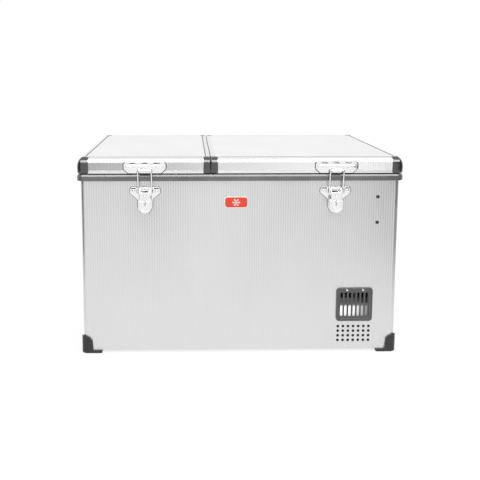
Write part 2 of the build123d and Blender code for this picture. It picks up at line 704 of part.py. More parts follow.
def make_badge():
    """Small plate on the front with a raised snowflake."""
    with BuildPart() as badge:
        with BuildSketch(front_at(BADGE_X, BADGE_Z)):
            RectangleRounded(BADGE_W, BADGE_H, 7)
        extrude(amount=1.8)
        fillet(badge.faces().sort_by(Axis.Y)[0].edges(), 0.9)
        with BuildSketch(front_at(BADGE_X, BADGE_Z, CASE_Y + 1.7)):
            with PolarLocations(0, 6, start_angle=90):
                with Locations((4.5, 0)):
                    Rectangle(9, 1.2)
                with Locations((6.2, 1.2), (6.2, -1.2)):
                    Circle(0.8)
        extrude(amount=0.5)
    return badge.part


save(make_front_grille(), "front_grille")
save(make_side_grille(), "side_grille")
save(make_badge(), "badge")


# ---- control panel and sockets on the right-hand end -----------------------------------------


def button_places():
    return [(PANEL_Y + (i - 1.5) * BUTTON_PITCH, BUTTON_Z) for i in range(len(BUTTONS))]


def make_control_panel():
    with BuildPart() as panel:
        with BuildSketch(end_plane(CASE_X)):
            with Locations((PANEL_Y, PANEL_Z)):
                RectangleRounded(PANEL_W, PANEL_H, 9)
        extrude(amount=PLATE_T)
        fillet(panel.faces().sort_by(Axis.X)[-1].edges(), 1.4)
        with BuildSketch(end_plane(CASE_X + PLATE_T)):
            with Locations((PANEL_Y, PANEL_Z + 22)):
                RectangleRounded(92, 70, 4)
        extrude(amount=-1.5, mode=Mode.SUBTRACT)
        with BuildSketch(end_plane(CASE_X)):
            with Locations(*button_places()):
                Circle(BUTTON_R + 0.3)
        extrude(amount=PLATE_T, mode=Mode.SUBTRACT)
        add(body_screws, mode=Mode.SUBTRACT)
    return panel.part


def make_display_window():
    with BuildPart() as window:
        with BuildSketch(end_plane(CASE_X + PLATE_T - 1.5)):
            with Locations((PANEL_Y, PANEL_Z + 22)):
                RectangleRounded(91.6, 69.6, 3.8)
        extrude(amount=1.8)
    return window.part


def make_button(place):
    with BuildPart() as button:
        with BuildSketch(end_plane(CASE_X - 4)):
            with Locations(place):
                Circle(BUTTON_R)
        extrude(amount=PLATE_T + 4 + 1.5)
        fillet(button.faces().sort_by(Axis.X)[-1].edges(), 1.0)
    return button.part


def make_dc_socket():
    with BuildPart() as socket:
        with BuildSketch(end_plane(CASE_X)):
            with Locations((DC_Y, SOCKET_Z)):
                Circle(18)
        extrude(amount=3.5)
        fillet(socket.faces().sort_by(Axis.X)[-1].edges(), 1.2)
        with BuildSketch(end_plane(CASE_X)):
            with Locations((DC_Y, SOCKET_Z)):
                Circle(13.3)
        extrude(amount=-40)
        with BuildSketch(end_plane(CASE_X + 3.5)):
            with Locations((DC_Y, SOCKET_Z)):
                Circle(10.5)
        extrude(amount=-38, mode=Mode.SUBTRACT)
    return socket.part


def make_ac_inlet():
    """Mains inlet: a flanged shroud with three flat pins in its well."""
    with BuildPart() as inlet:
        with BuildSketch(end_plane(CASE_X)):
            with Locations((AC_Y, SOCKET_Z)):
                RectangleRounded(48, 32, 5)
        extrude(amount=3.5)
        fillet(inlet.faces().sort_by(Axis.X)[-1].edges(), 1.0)
        with BuildSketch(end_plane(CASE_X)):
            with Locations((AC_Y, SOCKET_Z)):
                Rectangle(28, 22)
        extrude(amount=-26)
        with BuildSketch(end_plane(CASE_X + 3.5)):
            with Locations((AC_Y, SOCKET_Z)):
                RectangleRounded(24.5, 16.5, 3)
        extrude(amount=-22, mode=Mode.SUBTRACT)
        with BuildSketch(end_plane(CASE_X - 18.5)):
            with Locations((AC_Y - 7, SOCKET_Z - 1), (AC_Y, SOCKET_Z + 2), (AC_Y + 7, SOCKET_Z - 1)):
                Rectangle(2, 5)
        extrude(amount=15)
    return inlet.part


save(make_control_panel(), "control_panel")
save(make_display_window(), "display_window")
for name, place in zip(BUTTONS, button_places()):
    save(make_button(place), name)
save(make_dc_socket(), "dc_socket")
save(make_ac_inlet(), "ac_inlet")


# ---- lids ------------------------------------------------------------------------------------


def lid_block(side, inset):
    """A lid's outside shape: rounded along the top of its three outer sides, square at the seam."""
    seam_x = lid_span(side)[1]
    with BuildPart() as block:
        with BuildSketch(Plane.XY.offset(LID_BOTTOM)):
            add(lid_outline(side, inset, 0, LID_CORNER_R - inset))
        extrude(amount=LID_TOP - LID_BOTTOM)
        top_edges = block.faces().sort_by(Axis.Z)[-1].edges()
        seam_edge = top_edges.filter_by_position(Axis.X, seam_x - 0.1, seam_x + 0.1)
        fillet([e for e in top_edges if e not in seam_edge], LID_ROUND)
    return block.part


def corner_boxes(side):
    """Blocks over the four corners of a lid, where the moulded caps sit."""
    outer, seam = lid_span(side)
    away = 1 if outer > seam else -1
    with BuildPart() as boxes:
        with BuildSketch(Plane.XY.offset(LID_BOTTOM)):
            for y in (-RIM_Y + CAP_DEPTH / 2, RIM_Y - CAP_DEPTH / 2):
                with Locations((outer - away * CAP_OUTER / 2, y)):
                    Rectangle(CAP_OUTER, CAP_DEPTH)
                with Locations((seam + away * CAP_SEAM / 2, y)):
                    Rectangle(CAP_SEAM, CAP_DEPTH)
        extrude(amount=LID_TOP - LID_BOTTOM)
    return boxes.part


def lid_slab(side, bottom, top, inset, seam_inset, radius=0.9):
    """A lid-shaped slab between two heights, set in from the lid's own edges."""
    with BuildPart() as slab:
        with BuildSketch(Plane.XY.offset(bottom)):
            add(lid_outline(side, inset, seam_inset, radius))
        extrude(amount=top - bottom)
    return slab.part


def seal_channel(side):
    with BuildPart() as channel:
        add(lid_slab(side, LID_BOTTOM, LID_BOTTOM + 3, 5, 3, 10))
        add(lid_slab(side, LID_BOTTOM, LID_BOTTOM + 3, 17, 12, 6), mode=Mode.SUBTRACT)
    return channel.part


def make_lid_frame(side):
    """Extruded rails round the lid, with a groove, a ledge for the top sheet and a channel for the seal."""
    inset, seam_inset = FRAME_INSET + GROOVE_DEPTH, GROOVE_DEPTH
    with BuildPart() as frame:
        add(lid_block(side, FRAME_INSET))
        with BuildSketch(Plane.XY.offset(GROOVE_Z)):
            add(lid_outline(side, 0, 0, LID_CORNER_R))
            add(lid_outline(side, inset, seam_inset, LID_CORNER_R - inset), mode=Mode.SUBTRACT)
        extrude(amount=GROOVE_H, mode=Mode.SUBTRACT)
        add(lid_slab(side, LID_BOTTOM, LID_TOP, RAIL, SEAM_RAIL), mode=Mode.SUBTRACT)
        add(lid_slab(side, PANEL_TOP - PANEL_T, LID_TOP, RAIL - LEDGE, SEAM_RAIL - LEDGE), mode=Mode.SUBTRACT)
        add(seal_channel(side), mode=Mode.SUBTRACT)
        add(corner_boxes(side), mode=Mode.SUBTRACT)
    return frame.part


def make_corner_caps(side):
    with BuildPart() as caps:
        add(lid_block(side, 0))
        add(corner_boxes(side), mode=Mode.INTERSECT)
        add(lid_slab(side, LID_BOTTOM, LID_TOP, RAIL, SEAM_RAIL), mode=Mode.SUBTRACT)
        add(lid_slab(side, PANEL_TOP - PANEL_T, LID_TOP, RAIL - LEDGE, SEAM_RAIL - LEDGE), mode=Mode.SUBTRACT)
        add(seal_channel(side), mode=Mode.SUBTRACT)
    return caps.part


def plug_block(side, extra, bottom, top):
    """The raised middle of the lid's underside, set in from the liner walls by a gap and some more."""
    x0, x1 = LINERS[side]
    inset = PLUG_GAP + extra
    with BuildPart() as plug:
        with BuildSketch(Plane.XY.offset(bottom)):
            with Locations(((x0 + x1) / 2, 0)):
                RectangleRounded(x1 - x0 - 2 * inset, 2 * (LINER_Y - inset), LINER_R - 6 - extra / 2)
        extrude(amount=top - bottom)
        if not extra:
            fillet(plug.faces().sort_by(Axis.Z)[0].edges(), 7)
    return plug.part


def make_inner_pan(side):
    """Moulded underside of the lid, with the raised plug that drops into the compartment."""
    with BuildPart() as pan:
        add(lid_slab(side, SKIN_Z - 2.5, SKIN_Z, RAIL, SEAM_RAIL))
        add(plug_block(side, 0, PLUG_BOTTOM, SKIN_Z - 2.5))
        add(plug_block(side, 10, PLUG_BOTTOM + 3, SKIN_Z), mode=Mode.SUBTRACT)
    return pan.part


def make_lid_foam(side):
    with BuildPart() as foam:
        add(lid_slab(side, SKIN_Z, PANEL_TOP - PANEL_T, RAIL, SEAM_RAIL))
        add(plug_block(side, 10, PLUG_BOTTOM + 3, SKIN_Z))
    return foam.part


def make_gasket(side):
    """Soft seal in the channel under the lid, just clear of the rim."""
    bottom, top = RIM_TOP + 0.3, LID_BOTTOM + 3
    with BuildPart() as gasket:
        add(lid_slab(side, bottom, top, 5.5, 3.5, 9.5))
        add(lid_slab(side, bottom, top, 16.5, 11.5, 6.5), mode=Mode.SUBTRACT)
    return gasket.part


for side in LINERS:
    save(make_lid_frame(side), f"{side}_lid_frame")
    save(make_corner_caps(side), f"{side}_lid_corner_caps")
    top_sheet = lid_slab(side, PANEL_TOP - PANEL_T, PANEL_TOP, RAIL - LEDGE, SEAM_RAIL - LEDGE)
    save(top_sheet, f"{side}_lid_top_sheet")
    save(make_lid_foam(side), f"{side}_lid_foam")
    save(make_inner_pan(side), f"{side}_lid_inner_pan")
    save(make_gasket(side), f"{side}_lid_gasket")


# ---- hinges ----------------------------------------------------------------------------------


def hinge_section(x, half, points):
    """A prism along X, centred at x, from a list of (Y, Z) corners."""
    return prism(end_plane(x - half), points, 2 * half)


def knuckle(x, half, outer, inner=0):
    """A sleeve or a bar on the hinge axis, centred at x."""
    return ring(end_plane(x - half), (HINGE_Y, HINGE_Z), outer, inner, 2 * half)


def make_lid_leaves(side):
    back = RIM_Y - FRAME_INSET
    with BuildPart() as leaves:
        for x in HINGES[side]:
            plate = [(back, 444.5), (back + 2, 444.5), (back + 2, 457.5), (back, 457.5)]
            web = [(back + 0.2, HINGE_Z), (HINGE_Y, HINGE_Z), (HINGE_Y + 4, 441), (back + 2, 448),
                   (back + 0.2, 448)]
            add(hinge_section(x, HINGE_HALF, plate))
            add(hinge_section(x, LID_KNUCKLE_HALF, web))
            add(knuckle(x, LID_KNUCKLE_HALF, KNUCKLE_R))
            add(knuckle(x, LID_KNUCKLE_HALF, PIN_R + RUN), mode=Mode.SUBTRACT)
    return leaves.part


def make_body_leaves():
    half = (HINGE_HALF - LID_KNUCKLE_HALF - KNUCKLE_GAP) / 2
    back = RIM_Y + 0.2
    plate = [(CASE_Y, 384), (back + 2, 384), (back + 2, 431), (back, 431), (back, 417.7), (CASE_Y, 417.7)]
    web = [(back, 427), (back + 2, 427), (HINGE_Y + 4, 434), (HINGE_Y, HINGE_Z), (back, 436)]
    with BuildPart() as leaves:
        for x in sum(HINGES.values(), ()):
            add(hinge_section(x, HINGE_HALF, plate))
            for centre in (x - HINGE_HALF + half, x + HINGE_HALF - half):
                add(hinge_section(centre, half, web))
                add(knuckle(centre, half, KNUCKLE_R))
                add(knuckle(centre, half, PIN_R), mode=Mode.SUBTRACT)
    return leaves.part


def make_hinge_pins():
    """The four lid hinge pins and the two latch pins."""
    with BuildPart() as pins:
        for x in sum(HINGES.values(), ()):
            add(knuckle(x, HINGE_HALF, PIN_R))
        for x in LATCH_X.values():
            add(ring(end_plane(x - 21), LEVER_PIVOT, LATCH_PIN_R, 0, 42))
    return pins.part


for side in LINERS:
    save(make_lid_leaves(side), f"{side}_lid_hinge_leaves")
save(make_body_leaves(), "body_hinge_leaves")
save(make_hinge_pins(), "hinge_pins")


# ---- draw latches ----------------------------------------------------------------------------


def make_latch_base(x):
    """Winged plate on the case with two ears for the lever pin and a staple for the lever's slot."""
    with BuildPart() as base:
        with BuildSketch(front_at(x, 0)):
            with BuildLine():
                Polyline((-33, 403), (33, 403), (36, 398), (36, 390), (17, 375), (17, 356))
                ThreePointArc((17, 356), (0, 341), (-17, 356))
                Polyline((-17, 356), (-17, 375), (-36, 390), (-36, 398), (-33, 403))
            make_face()
        extrude(amount=1.5)
        for away in (-1, 1):
            with BuildSketch(end_plane(x + away * 20 - 1)):
                with BuildLine():
                    Polyline((-CASE_Y - 1, 388), (-CASE_Y - 6, 388), (-CASE_Y - 8, 394), (-CASE_Y - 8, 401),
                             (-CASE_Y - 5, 403), (-CASE_Y - 1, 403), close=True)
                make_face()
                with Locations(LEVER_PIVOT):
                    Circle(LATCH_PIN_R, mode=Mode.SUBTRACT)
            extrude(amount=2)
        with BuildSketch(end_plane(x - 0.9)):
            with Locations(((-CASE_Y - 1 - 263.5) / 2, 367)):
                Rectangle(263.5 - CASE_Y - 1, 7)
        extrude(amount=1.8)
    return base.part


def make_latch_lever(x):
    """Rounded lever plate with a narrow neck, two pivot flanges behind it and a slot for the staple."""
    bottom, neck_z, top = 343.0, 377.0, 392.0
    with BuildPart() as lever:
        with BuildSketch(front_at(x, 0, -LEVER_FACE)):
            with BuildLine():
                Polyline((-LEVER_NECK, top), (LEVER_NECK, top), (LEVER_NECK, neck_z),
                         (LEVER_HALF, neck_z - 4), (LEVER_HALF - 1.5, bottom + 12))
                ThreePointArc((LEVER_HALF - 1.5, bottom + 12), (0, bottom), (-LEVER_HALF + 1.5, bottom + 12))
                Polyline((-LEVER_HALF + 1.5, bottom + 12), (-LEVER_HALF, neck_z - 4), (-LEVER_NECK, neck_z),
                         (-LEVER_NECK, top))
            make_face()
            with Locations((0, 367)):
                RectangleRounded(3.4, 13, 1.2, mode=Mode.SUBTRACT)
        extrude(amount=-LEVER_T)
        pivot_y, pivot_z = LEVER_PIVOT
        for away in (-1, 1):
            with BuildSketch(end_plane(x + away * (LEVER_NECK - 0.75) - 0.75)):
                with BuildLine():
                    Polyline((LEVER_FACE + 1, top), (LEVER_FACE + 1, 380), (BAIL_PIVOT[0] + 2.6, 380),
                             (pivot_y + 2.7, pivot_z - 3), (pivot_y + 2.7, pivot_z), (pivot_y, pivot_z + 2.7),
                             close=True)
                make_face()
                with Locations(LEVER_PIVOT):
                    Circle(2.7)
                with Locations(LEVER_PIVOT):
                    Circle(LATCH_PIN_R + LATCH_RUN, mode=Mode.SUBTRACT)
                with Locations(BAIL_PIVOT):
                    Circle(WIRE_R + LATCH_RUN, mode=Mode.SUBTRACT)
            extrude(amount=1.5)
    return lever.part


def make_latch_bail(x):
    """Wire loop whose turned-in ends pivot in the lever and whose top bar reaches the lid's hook."""
    pivot_y, pivot_z = BAIL_PIVOT
    top_y, top_z = BAIL_TOP
    inner = 8.0
    points = [
        (x - inner, pivot_y, pivot_z),
        (x - BAIL_HALF, pivot_y, pivot_z),
        (x - BAIL_HALF, top_y, top_z),
        (x + BAIL_HALF, top_y, top_z),
        (x + BAIL_HALF, pivot_y, pivot_z),
        (x + inner, pivot_y, pivot_z),
    ]
    return pipe(points, WIRE_R, (2.6, 6, 6, 2.6))


def make_latch_keeper(x):
    """Plate on the lid's front rail with a hook for the bail and three slots along its top."""
    face = RIM_Y - FRAME_INSET
    with BuildPart() as keeper:
        with BuildSketch(front_at(x, 0, face)):
            with BuildLine():
                Polyline((-49, 458), (-45, 462.5), (45, 462.5), (49, 458), (49, 446), (39, 436), (-39, 436),
                         (-49, 446), (-49, 458))
            make_face()
            with Locations((0, 459.2)), GridLocations(27.5, 0, 3, 1):
                SlotOverall(14, 2.4, mode=Mode.SUBTRACT)
        extrude(amount=1.8)
        with BuildSketch(end_plane(x - 12)):
            with BuildLine():
                Polyline((-face - 1, 438), (-259.5, 438), (-259.5, 447.5), (-257.5, 447.5), (-257.5, 440),
                         (-face - 1, 440), close=True)
            make_face()
        extrude(amount=24)
        fillet(keeper.edges().filter_by(Axis.X).filter_by_position(Axis.Y, -259.6, -259.4), 1.4)
    return keeper.part


for side, x in LATCH_X.items():
    save(make_latch_base(x), f"{side}_latch_base")
    save(make_latch_lever(x), f"{side}_latch_lever")
    save(make_latch_bail(x), f"{side}_latch_bail")
    save(make_latch_keeper(x), f"{side}_latch_keeper")


# ---- drop handles ----------------------------------------------------------------------------


def make_handle_plates():
    """A back plate at each end of the case, with two lugs that hold the handle's pivots."""
    low, high = HANDLE_PIVOT_Z - 68.0, HANDLE_PIVOT_Z + 24.0
    lug_y, lug_t = HANDLE_HALF + 8.0, 5.0
    with BuildPart() as plate:
        with BuildSketch(end_plane(CASE_X)):
            with Locations((0, (low + high) / 2)):
                RectangleRounded(136, high - low, 10)
        extrude(amount=PLATE_T)
        for away in (-1, 1):
            with BuildSketch(Plane.XZ.offset(-away * lug_y - lug_t / 2)):
                with BuildLine():
                    Polyline((CASE_X + PLATE_T - 1, HANDLE_PIVOT_Z - 12),
                             (HANDLE_PIVOT_X, HANDLE_PIVOT_Z - 8), (HANDLE_PIVOT_X, HANDLE_PIVOT_Z + 8),
                             (CASE_X + PLATE_T - 1, HANDLE_PIVOT_Z + 12), close=True)
                make_face()
                with Locations((HANDLE_PIVOT_X, HANDLE_PIVOT_Z)):
                    Circle(8)
                    Circle(HANDLE_ROD_R + RUN, mode=Mode.SUBTRACT)
            extrude(amount=lug_t)
    with BuildPart() as plates:
        add(plate.part)
        mirror(plate.part, about=Plane.YZ)
        add(body_screws, mode=Mode.SUBTRACT)
    return plates.part


def make_handle_bar():
    """The right-hand bar: a bent rod that hangs from its two turned-out ends."""
    x, z = HANDLE_PIVOT_X, HANDLE_PIVOT_Z
    reach = HANDLE_HALF + 11.0
    points = [(x, -reach, z), (x, -HANDLE_HALF, z), (x, -HANDLE_HALF, z - HANDLE_DROP),
              (x, HANDLE_HALF, z - HANDLE_DROP), (x, HANDLE_HALF, z), (x, reach, z)]
    return pipe(points, HANDLE_ROD_R, (4.6, 10, 10, 4.6))


def make_grip():
    x, z = HANDLE_PIVOT_X, HANDLE_PIVOT_Z - HANDLE_DROP
    with BuildPart() as grip:
        with BuildSketch(Plane.XZ.offset(GRIP_HALF)):
            with Locations((x, z)):
                Circle(GRIP_R)
                Circle(HANDLE_ROD_R, mode=Mode.SUBTRACT)
        extrude(amount=-2 * GRIP_HALF)
        fillet(grip.edges().filter_by(GeomType.CIRCLE).group_by(SortBy.RADIUS)[-1], 2.5)
    return grip.part


def mirrored(part):
    with BuildPart() as other:
        mirror(part, about=Plane.YZ)
    return other.part


save(make_handle_plates(), "handle_plates")
handle_bar, handle_grip = make_handle_bar(), make_grip()
save(mirrored(handle_bar), "left_handle_bar")
save(mirrored(handle_grip), "left_handle_grip")
save(handle_bar, "right_handle_bar")
save(handle_grip, "right_handle_grip")
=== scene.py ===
"""Looks for the two-lid chest fridge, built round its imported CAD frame. X to the right, front at -Y, Z up."""

import json
from math import atan2, cos, pi, radians, sin, tan

import bmesh
import bpy
from mathutils import Matrix, Vector


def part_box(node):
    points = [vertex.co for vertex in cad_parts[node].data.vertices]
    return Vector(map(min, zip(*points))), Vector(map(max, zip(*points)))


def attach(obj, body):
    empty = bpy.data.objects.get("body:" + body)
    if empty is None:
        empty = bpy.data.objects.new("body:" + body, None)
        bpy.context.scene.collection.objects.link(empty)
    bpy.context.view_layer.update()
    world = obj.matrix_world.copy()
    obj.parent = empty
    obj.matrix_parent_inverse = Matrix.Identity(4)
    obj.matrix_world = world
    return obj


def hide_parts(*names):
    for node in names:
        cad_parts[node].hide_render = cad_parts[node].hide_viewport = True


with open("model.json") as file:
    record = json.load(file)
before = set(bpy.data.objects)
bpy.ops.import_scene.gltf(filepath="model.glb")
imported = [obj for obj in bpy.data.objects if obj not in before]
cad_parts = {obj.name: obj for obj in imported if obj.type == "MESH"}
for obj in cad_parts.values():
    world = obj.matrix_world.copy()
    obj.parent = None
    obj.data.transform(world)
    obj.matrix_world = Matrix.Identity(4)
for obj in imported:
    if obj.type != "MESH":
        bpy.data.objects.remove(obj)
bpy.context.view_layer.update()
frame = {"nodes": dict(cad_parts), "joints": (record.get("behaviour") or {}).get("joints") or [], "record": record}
NODES = frame["nodes"]
MM = 0.001

SIDES = ("left", "right")
CASE_LOW, CASE_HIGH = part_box("outer_shell")
FRONT, BACK = CASE_LOW.y / MM, CASE_HIGH.y / MM
LEFT_END, RIGHT_END = CASE_LOW.x / MM, CASE_HIGH.x / MM


# ---- node materials, in metres ----


class Graph:
    """Writes one material's nodes, from its inputs to its output."""

    def __init__(self, name):
        self.material = bpy.data.materials.new(name)
        self.material.use_nodes = True
        self.tree = self.material.node_tree
        self.shader = self.tree.nodes["Principled BSDF"]

    def add(self, kind, inputs=None, **settings):
        node = self.tree.nodes.new("ShaderNode" + kind)
        for key, value in settings.items():
            setattr(node, key, value)
        for key, value in (inputs or {}).items():
            self.feed(node.inputs[key], value)
        return node

    def feed(self, socket, value):
        """Links a socket to another node's output, or sets its plain value."""
        if isinstance(value, bpy.types.NodeSocket):
            self.tree.links.new(value, socket)
        else:
            socket.default_value = value

    def set(self, **values):
        """Feeds the shader's own sockets, named with underscores for spaces."""
        for key, value in values.items():
            self.feed(self.shader.inputs[key.replace("_", " ")], value)

    def finish(self, colour, roughness, normal, **more):
        """Sets what every look has and whatever else is given, and gives the material."""
        self.set(Base_Color=colour, Roughness=roughness, Normal=normal, **more)
        return self.material

    def place(self, scale=(1, 1, 1)):
        """Object coordinates in metres, stretched by a scale for each axis."""
        spot = self.add("TexCoord").outputs["Object"]
        return self.add("Mapping", {"Vector": spot, "Scale": scale}).outputs["Vector"]

    def axes(self):
        """The three object coordinates, each by itself."""
        split = self.add("SeparateXYZ", {"Vector": self.add("TexCoord").outputs["Object"]})
        return [split.outputs[axis] for axis in "XYZ"]

    def math(self, operation, a, b=0.0):
        node = self.add("Math", operation=operation)
        self.feed(node.inputs[0], a)
        self.feed(node.inputs[1], b)
        return node.outputs[0]

    def plus(self, a, b):
        return self.math("ADD", a, b)

    def times(self, a, b):
        return self.math("MULTIPLY", a, b)

    def noise(self, scale, detail=3.0, roughness=0.5, stretch=(1, 1, 1)):
        inputs = {"Vector": self.place(stretch), "Scale": scale, "Detail": detail, "Roughness": roughness}
        return self.add("TexNoise", inputs).outputs["Fac"]

    def cells(self, scale):
        """The distance from the middle of the nearest cell."""
        return self.add("TexVoronoi", {"Vector": self.place(), "Scale": scale}).outputs["Distance"]

    def span(self, value, low, high, new_low=0.0, new_high=1.0):
        """A value's range carried over to another range, held at its ends."""
        ends = {"From Min": low, "From Max": high, "To Min": new_low, "To Max": new_high}
        return self.add("MapRange", {"Value": value, **ends}, clamp=True).outputs["Result"]

    def blend(self, factor, a, b):
        """A mix of two colours."""
        node = self.add("Mix", data_type="RGBA")
        self.feed(node.inputs["Factor"], factor)
        self.feed(node.inputs[6], a)
        self.feed(node.inputs[7], b)
        return node.outputs[2]

    def bump(self, height, depth, strength=1.0, under=None):
        """A normal bent by a height, on top of another bump if there is one under it."""
        node = self.add("Bump", {"Height": height, "Distance": depth, "Strength": strength})
        if under:
            self.feed(node.inputs["Normal"], under)
        return node.outputs["Normal"]


def rgba(colour, factor=1.0):
    return tuple(channel * factor for channel in colour) + (1.0,)


def grey(level):
    return (level, level, level, 1.0)


ROW_PITCH = 5.6 * MM


def embossed_steel(name, colour, dash, depth, groove_shade_strength, roughness, rise=1.0):
    """Stainless sheet rolled with upright rows of short dashes, neighbouring rows half a dash apart."""
    g = Graph(name)
    x, y, z = g.axes()
    wander = g.noise(60, 2, stretch=(1, 1, 0.25))
    across = g.plus(g.plus(x, y), g.times(wander, 0.35 * ROW_PITCH))
    along = g.plus(z, g.times(y, 0.37))
    row = g.times(across, 1 / ROW_PITCH)
    ridge = g.math("COSINE", g.times(row, 2 * pi))
    half_dash = g.times(g.math("FLOOR", row), pi)
    beads = g.math("COSINE", g.plus(g.times(along, 2 * pi / dash), half_dash))
    height = g.plus(g.times(ridge, 0.75), g.times(beads, 0.13))
    # Painted shade: the grooves of the embossing are darkened, in patches and less so towards the bottom.
    patches = g.noise(7, 3, stretch=(1, 1, 0.3))
    groove_shade = g.times(g.span(patches, 0.35, 0.68, 0.35), g.span(z, 0.10, 0.38, 0.12))
    hollow = g.math("SUBTRACT", 1.0, g.span(height, -0.9, 0.9))
    base = g.blend(g.times(hollow, g.times(groove_shade, groove_shade_strength)), rgba(colour), rgba(colour, 0.52))
    # Painted light: the colour rises from left to right by the rise factor.
    if rise != 1.0:
        base = g.blend(g.span(x, -0.35, 0.30), base, rgba(colour, rise))
    grain = g.noise(1, 2, stretch=(900, 900, 60))
    base = g.blend(g.span(grain, 0.3, 0.7, 0.0, 0.10), base, rgba(colour, 0.8))
    smudge = g.noise(14, 4)
    gloss = g.span(smudge, 0.3, 0.7, roughness - 0.05, roughness + 0.07)
    return g.finish(base, gloss, g.bump(height, depth, 0.8, g.bump(grain, 0.02 * MM)), Metallic=1.0)


def brushed_metal(name, colour, roughness, stretch, scratch=0.12):
    """Metal with a fine grain, stretched by a scale for each axis."""
    g = Graph(name)
    grain = g.noise(1, 4, 0.6, stretch=stretch)
    cloud = g.noise(22, 3)
    base = g.blend(g.span(grain, 0.3, 0.75, 0.0, scratch), rgba(colour), rgba(colour, 0.6))
    base = g.blend(g.span(cloud, 0.4, 0.7, 0.0, 0.12), base, rgba(colour, 0.82))
    gloss = g.span(cloud, 0.3, 0.7, roughness - 0.05, roughness + 0.08)
    return g.finish(base, gloss, g.bump(grain, 0.03 * MM, 0.6), Metallic=1.0)


def polished_metal(name, colour):
    """Bright plated metal with the faint waviness of a pressing and a few dull spots."""
    g = Graph(name)
    waves = g.noise(55, 2)
    spots = g.noise(260, 5, 0.7)
    base = g.blend(g.span(spots, 0.55, 0.8, 0.0, 0.35), rgba(colour), rgba(colour, 0.72))
    gloss = g.span(spots, 0.45, 0.75, 0.09, 0.25)
    return g.finish(base, gloss, g.bump(waves, 0.25 * MM, 0.35), Metallic=1.0)


def moulded(name, colour, roughness, grain_scale, grain_depth, coat=0.0, spread=0.22):
    """Moulded plastic or rubber with a spark-eroded grain and slight unevenness of colour."""
    g = Graph(name)
    leather = g.cells(grain_scale)
    fine = g.noise(grain_scale * 1.7, 4, 0.6)
    cloud = g.noise(16, 3)
    base = g.blend(g.span(cloud, 0.35, 0.7), rgba(colour, 1 - spread), rgba(colour, 1 + spread))
    base = g.blend(g.span(leather, 0.05, 0.5, 0.25, 0.0), base, rgba(colour, 0.7))
    if coat:
        g.set(Coat_Weight=coat, Coat_Roughness=0.12, Coat_IOR=1.65)
    gloss = g.span(fine, 0.3, 0.7, roughness - 0.06, roughness + 0.08)
    return g.finish(base, gloss, g.bump(g.plus(leather, fine), grain_depth, 0.7))


def painted(name, colour, roughness):
    """Sprayed or dipped coat with orange peel and dust in it."""
    g = Graph(name)
    peel = g.noise(420, 2)
    dust = g.noise(1500, 2, 0.8)
    cloud = g.noise(12, 3)
    base = g.blend(g.span(cloud, 0.35, 0.7, 0.0, 0.5), rgba(colour), rgba(colour, 0.85))
    base = g.blend(g.span(dust, 0.66, 0.74, 0.0, 0.3), base, rgba(colour, 1.25))
    gloss = g.span(cloud, 0.3, 0.7, roughness - 0.04, roughness + 0.06)
    return g.finish(base, gloss, g.bump(peel, 0.05 * MM, 0.5))


def spangled_zinc(name, colour):
    """Galvanised sheet, with the crystals of its zinc in slightly different greys."""
    g = Graph(name)
    spangle = g.add("TexVoronoi", {"Vector": g.place(), "Scale": 130.0})
    tone = g.add("SeparateColor", {"Color": spangle.outputs["Color"]}).outputs[0]
    base = g.blend(g.span(tone, 0, 1), rgba(colour, 0.82), rgba(colour, 1.12))
    pitted = g.bump(g.noise(500, 3), 0.04 * MM, 0.5)
    return g.finish(base, g.span(tone, 0, 1, 0.38, 0.55), pitted, Metallic=0.9)


def copper_tube(name, colour):
    """Copper with patches of dull brown tarnish."""
    g = Graph(name)
    tarnish = g.noise(60, 5, 0.7)
    base = g.blend(g.span(tarnish, 0.4, 0.7, 0.0, 0.85), rgba(colour), (0.20, 0.09, 0.05, 1))
    gloss = g.span(tarnish, 0.35, 0.7, 0.25, 0.55)
    return g.finish(base, gloss, g.bump(tarnish, 0.05 * MM, 0.4), Metallic=1.0)


def lit_fins(name):
    """Bare aluminium fins with a painted light band: one level band that fades to the right, lighter and glowing
    by emission, as if lit through the front vent.
    """
    g = Graph(name)
    x, _, z = g.axes()
    reach = g.times(g.span(z, 0.080, 0.088), g.span(x, 0.27, 0.31, 1.0, 0.25))
    reach = g.times(reach, g.span(z, 0.107, 0.114, 1.0, 0.12))
    dust = g.noise(1, 3, stretch=(900, 900, 50))
    reach = g.times(reach, g.span(dust, 0.3, 0.7, 1.0, 0.8))
    base = g.blend(reach, grey(0.16), grey(0.94))
    # The painted light band also glows by emission.
    g.set(Emission_Color=grey(1), Emission_Strength=g.times(reach, 0.55))
    return g.finish(base, 0.5, g.bump(dust, 0.02 * MM))


def rigid_foam(name, colour):
    """Blown foam with open pores."""
    g = Graph(name)
    pores = g.cells(900)
    base = g.blend(g.span(pores, 0.1, 0.6), rgba(colour, 0.7), rgba(colour))
    return g.finish(base, 0.9, g.bump(pores, 0.3 * MM))


ALONG_X = (60, 900, 900)

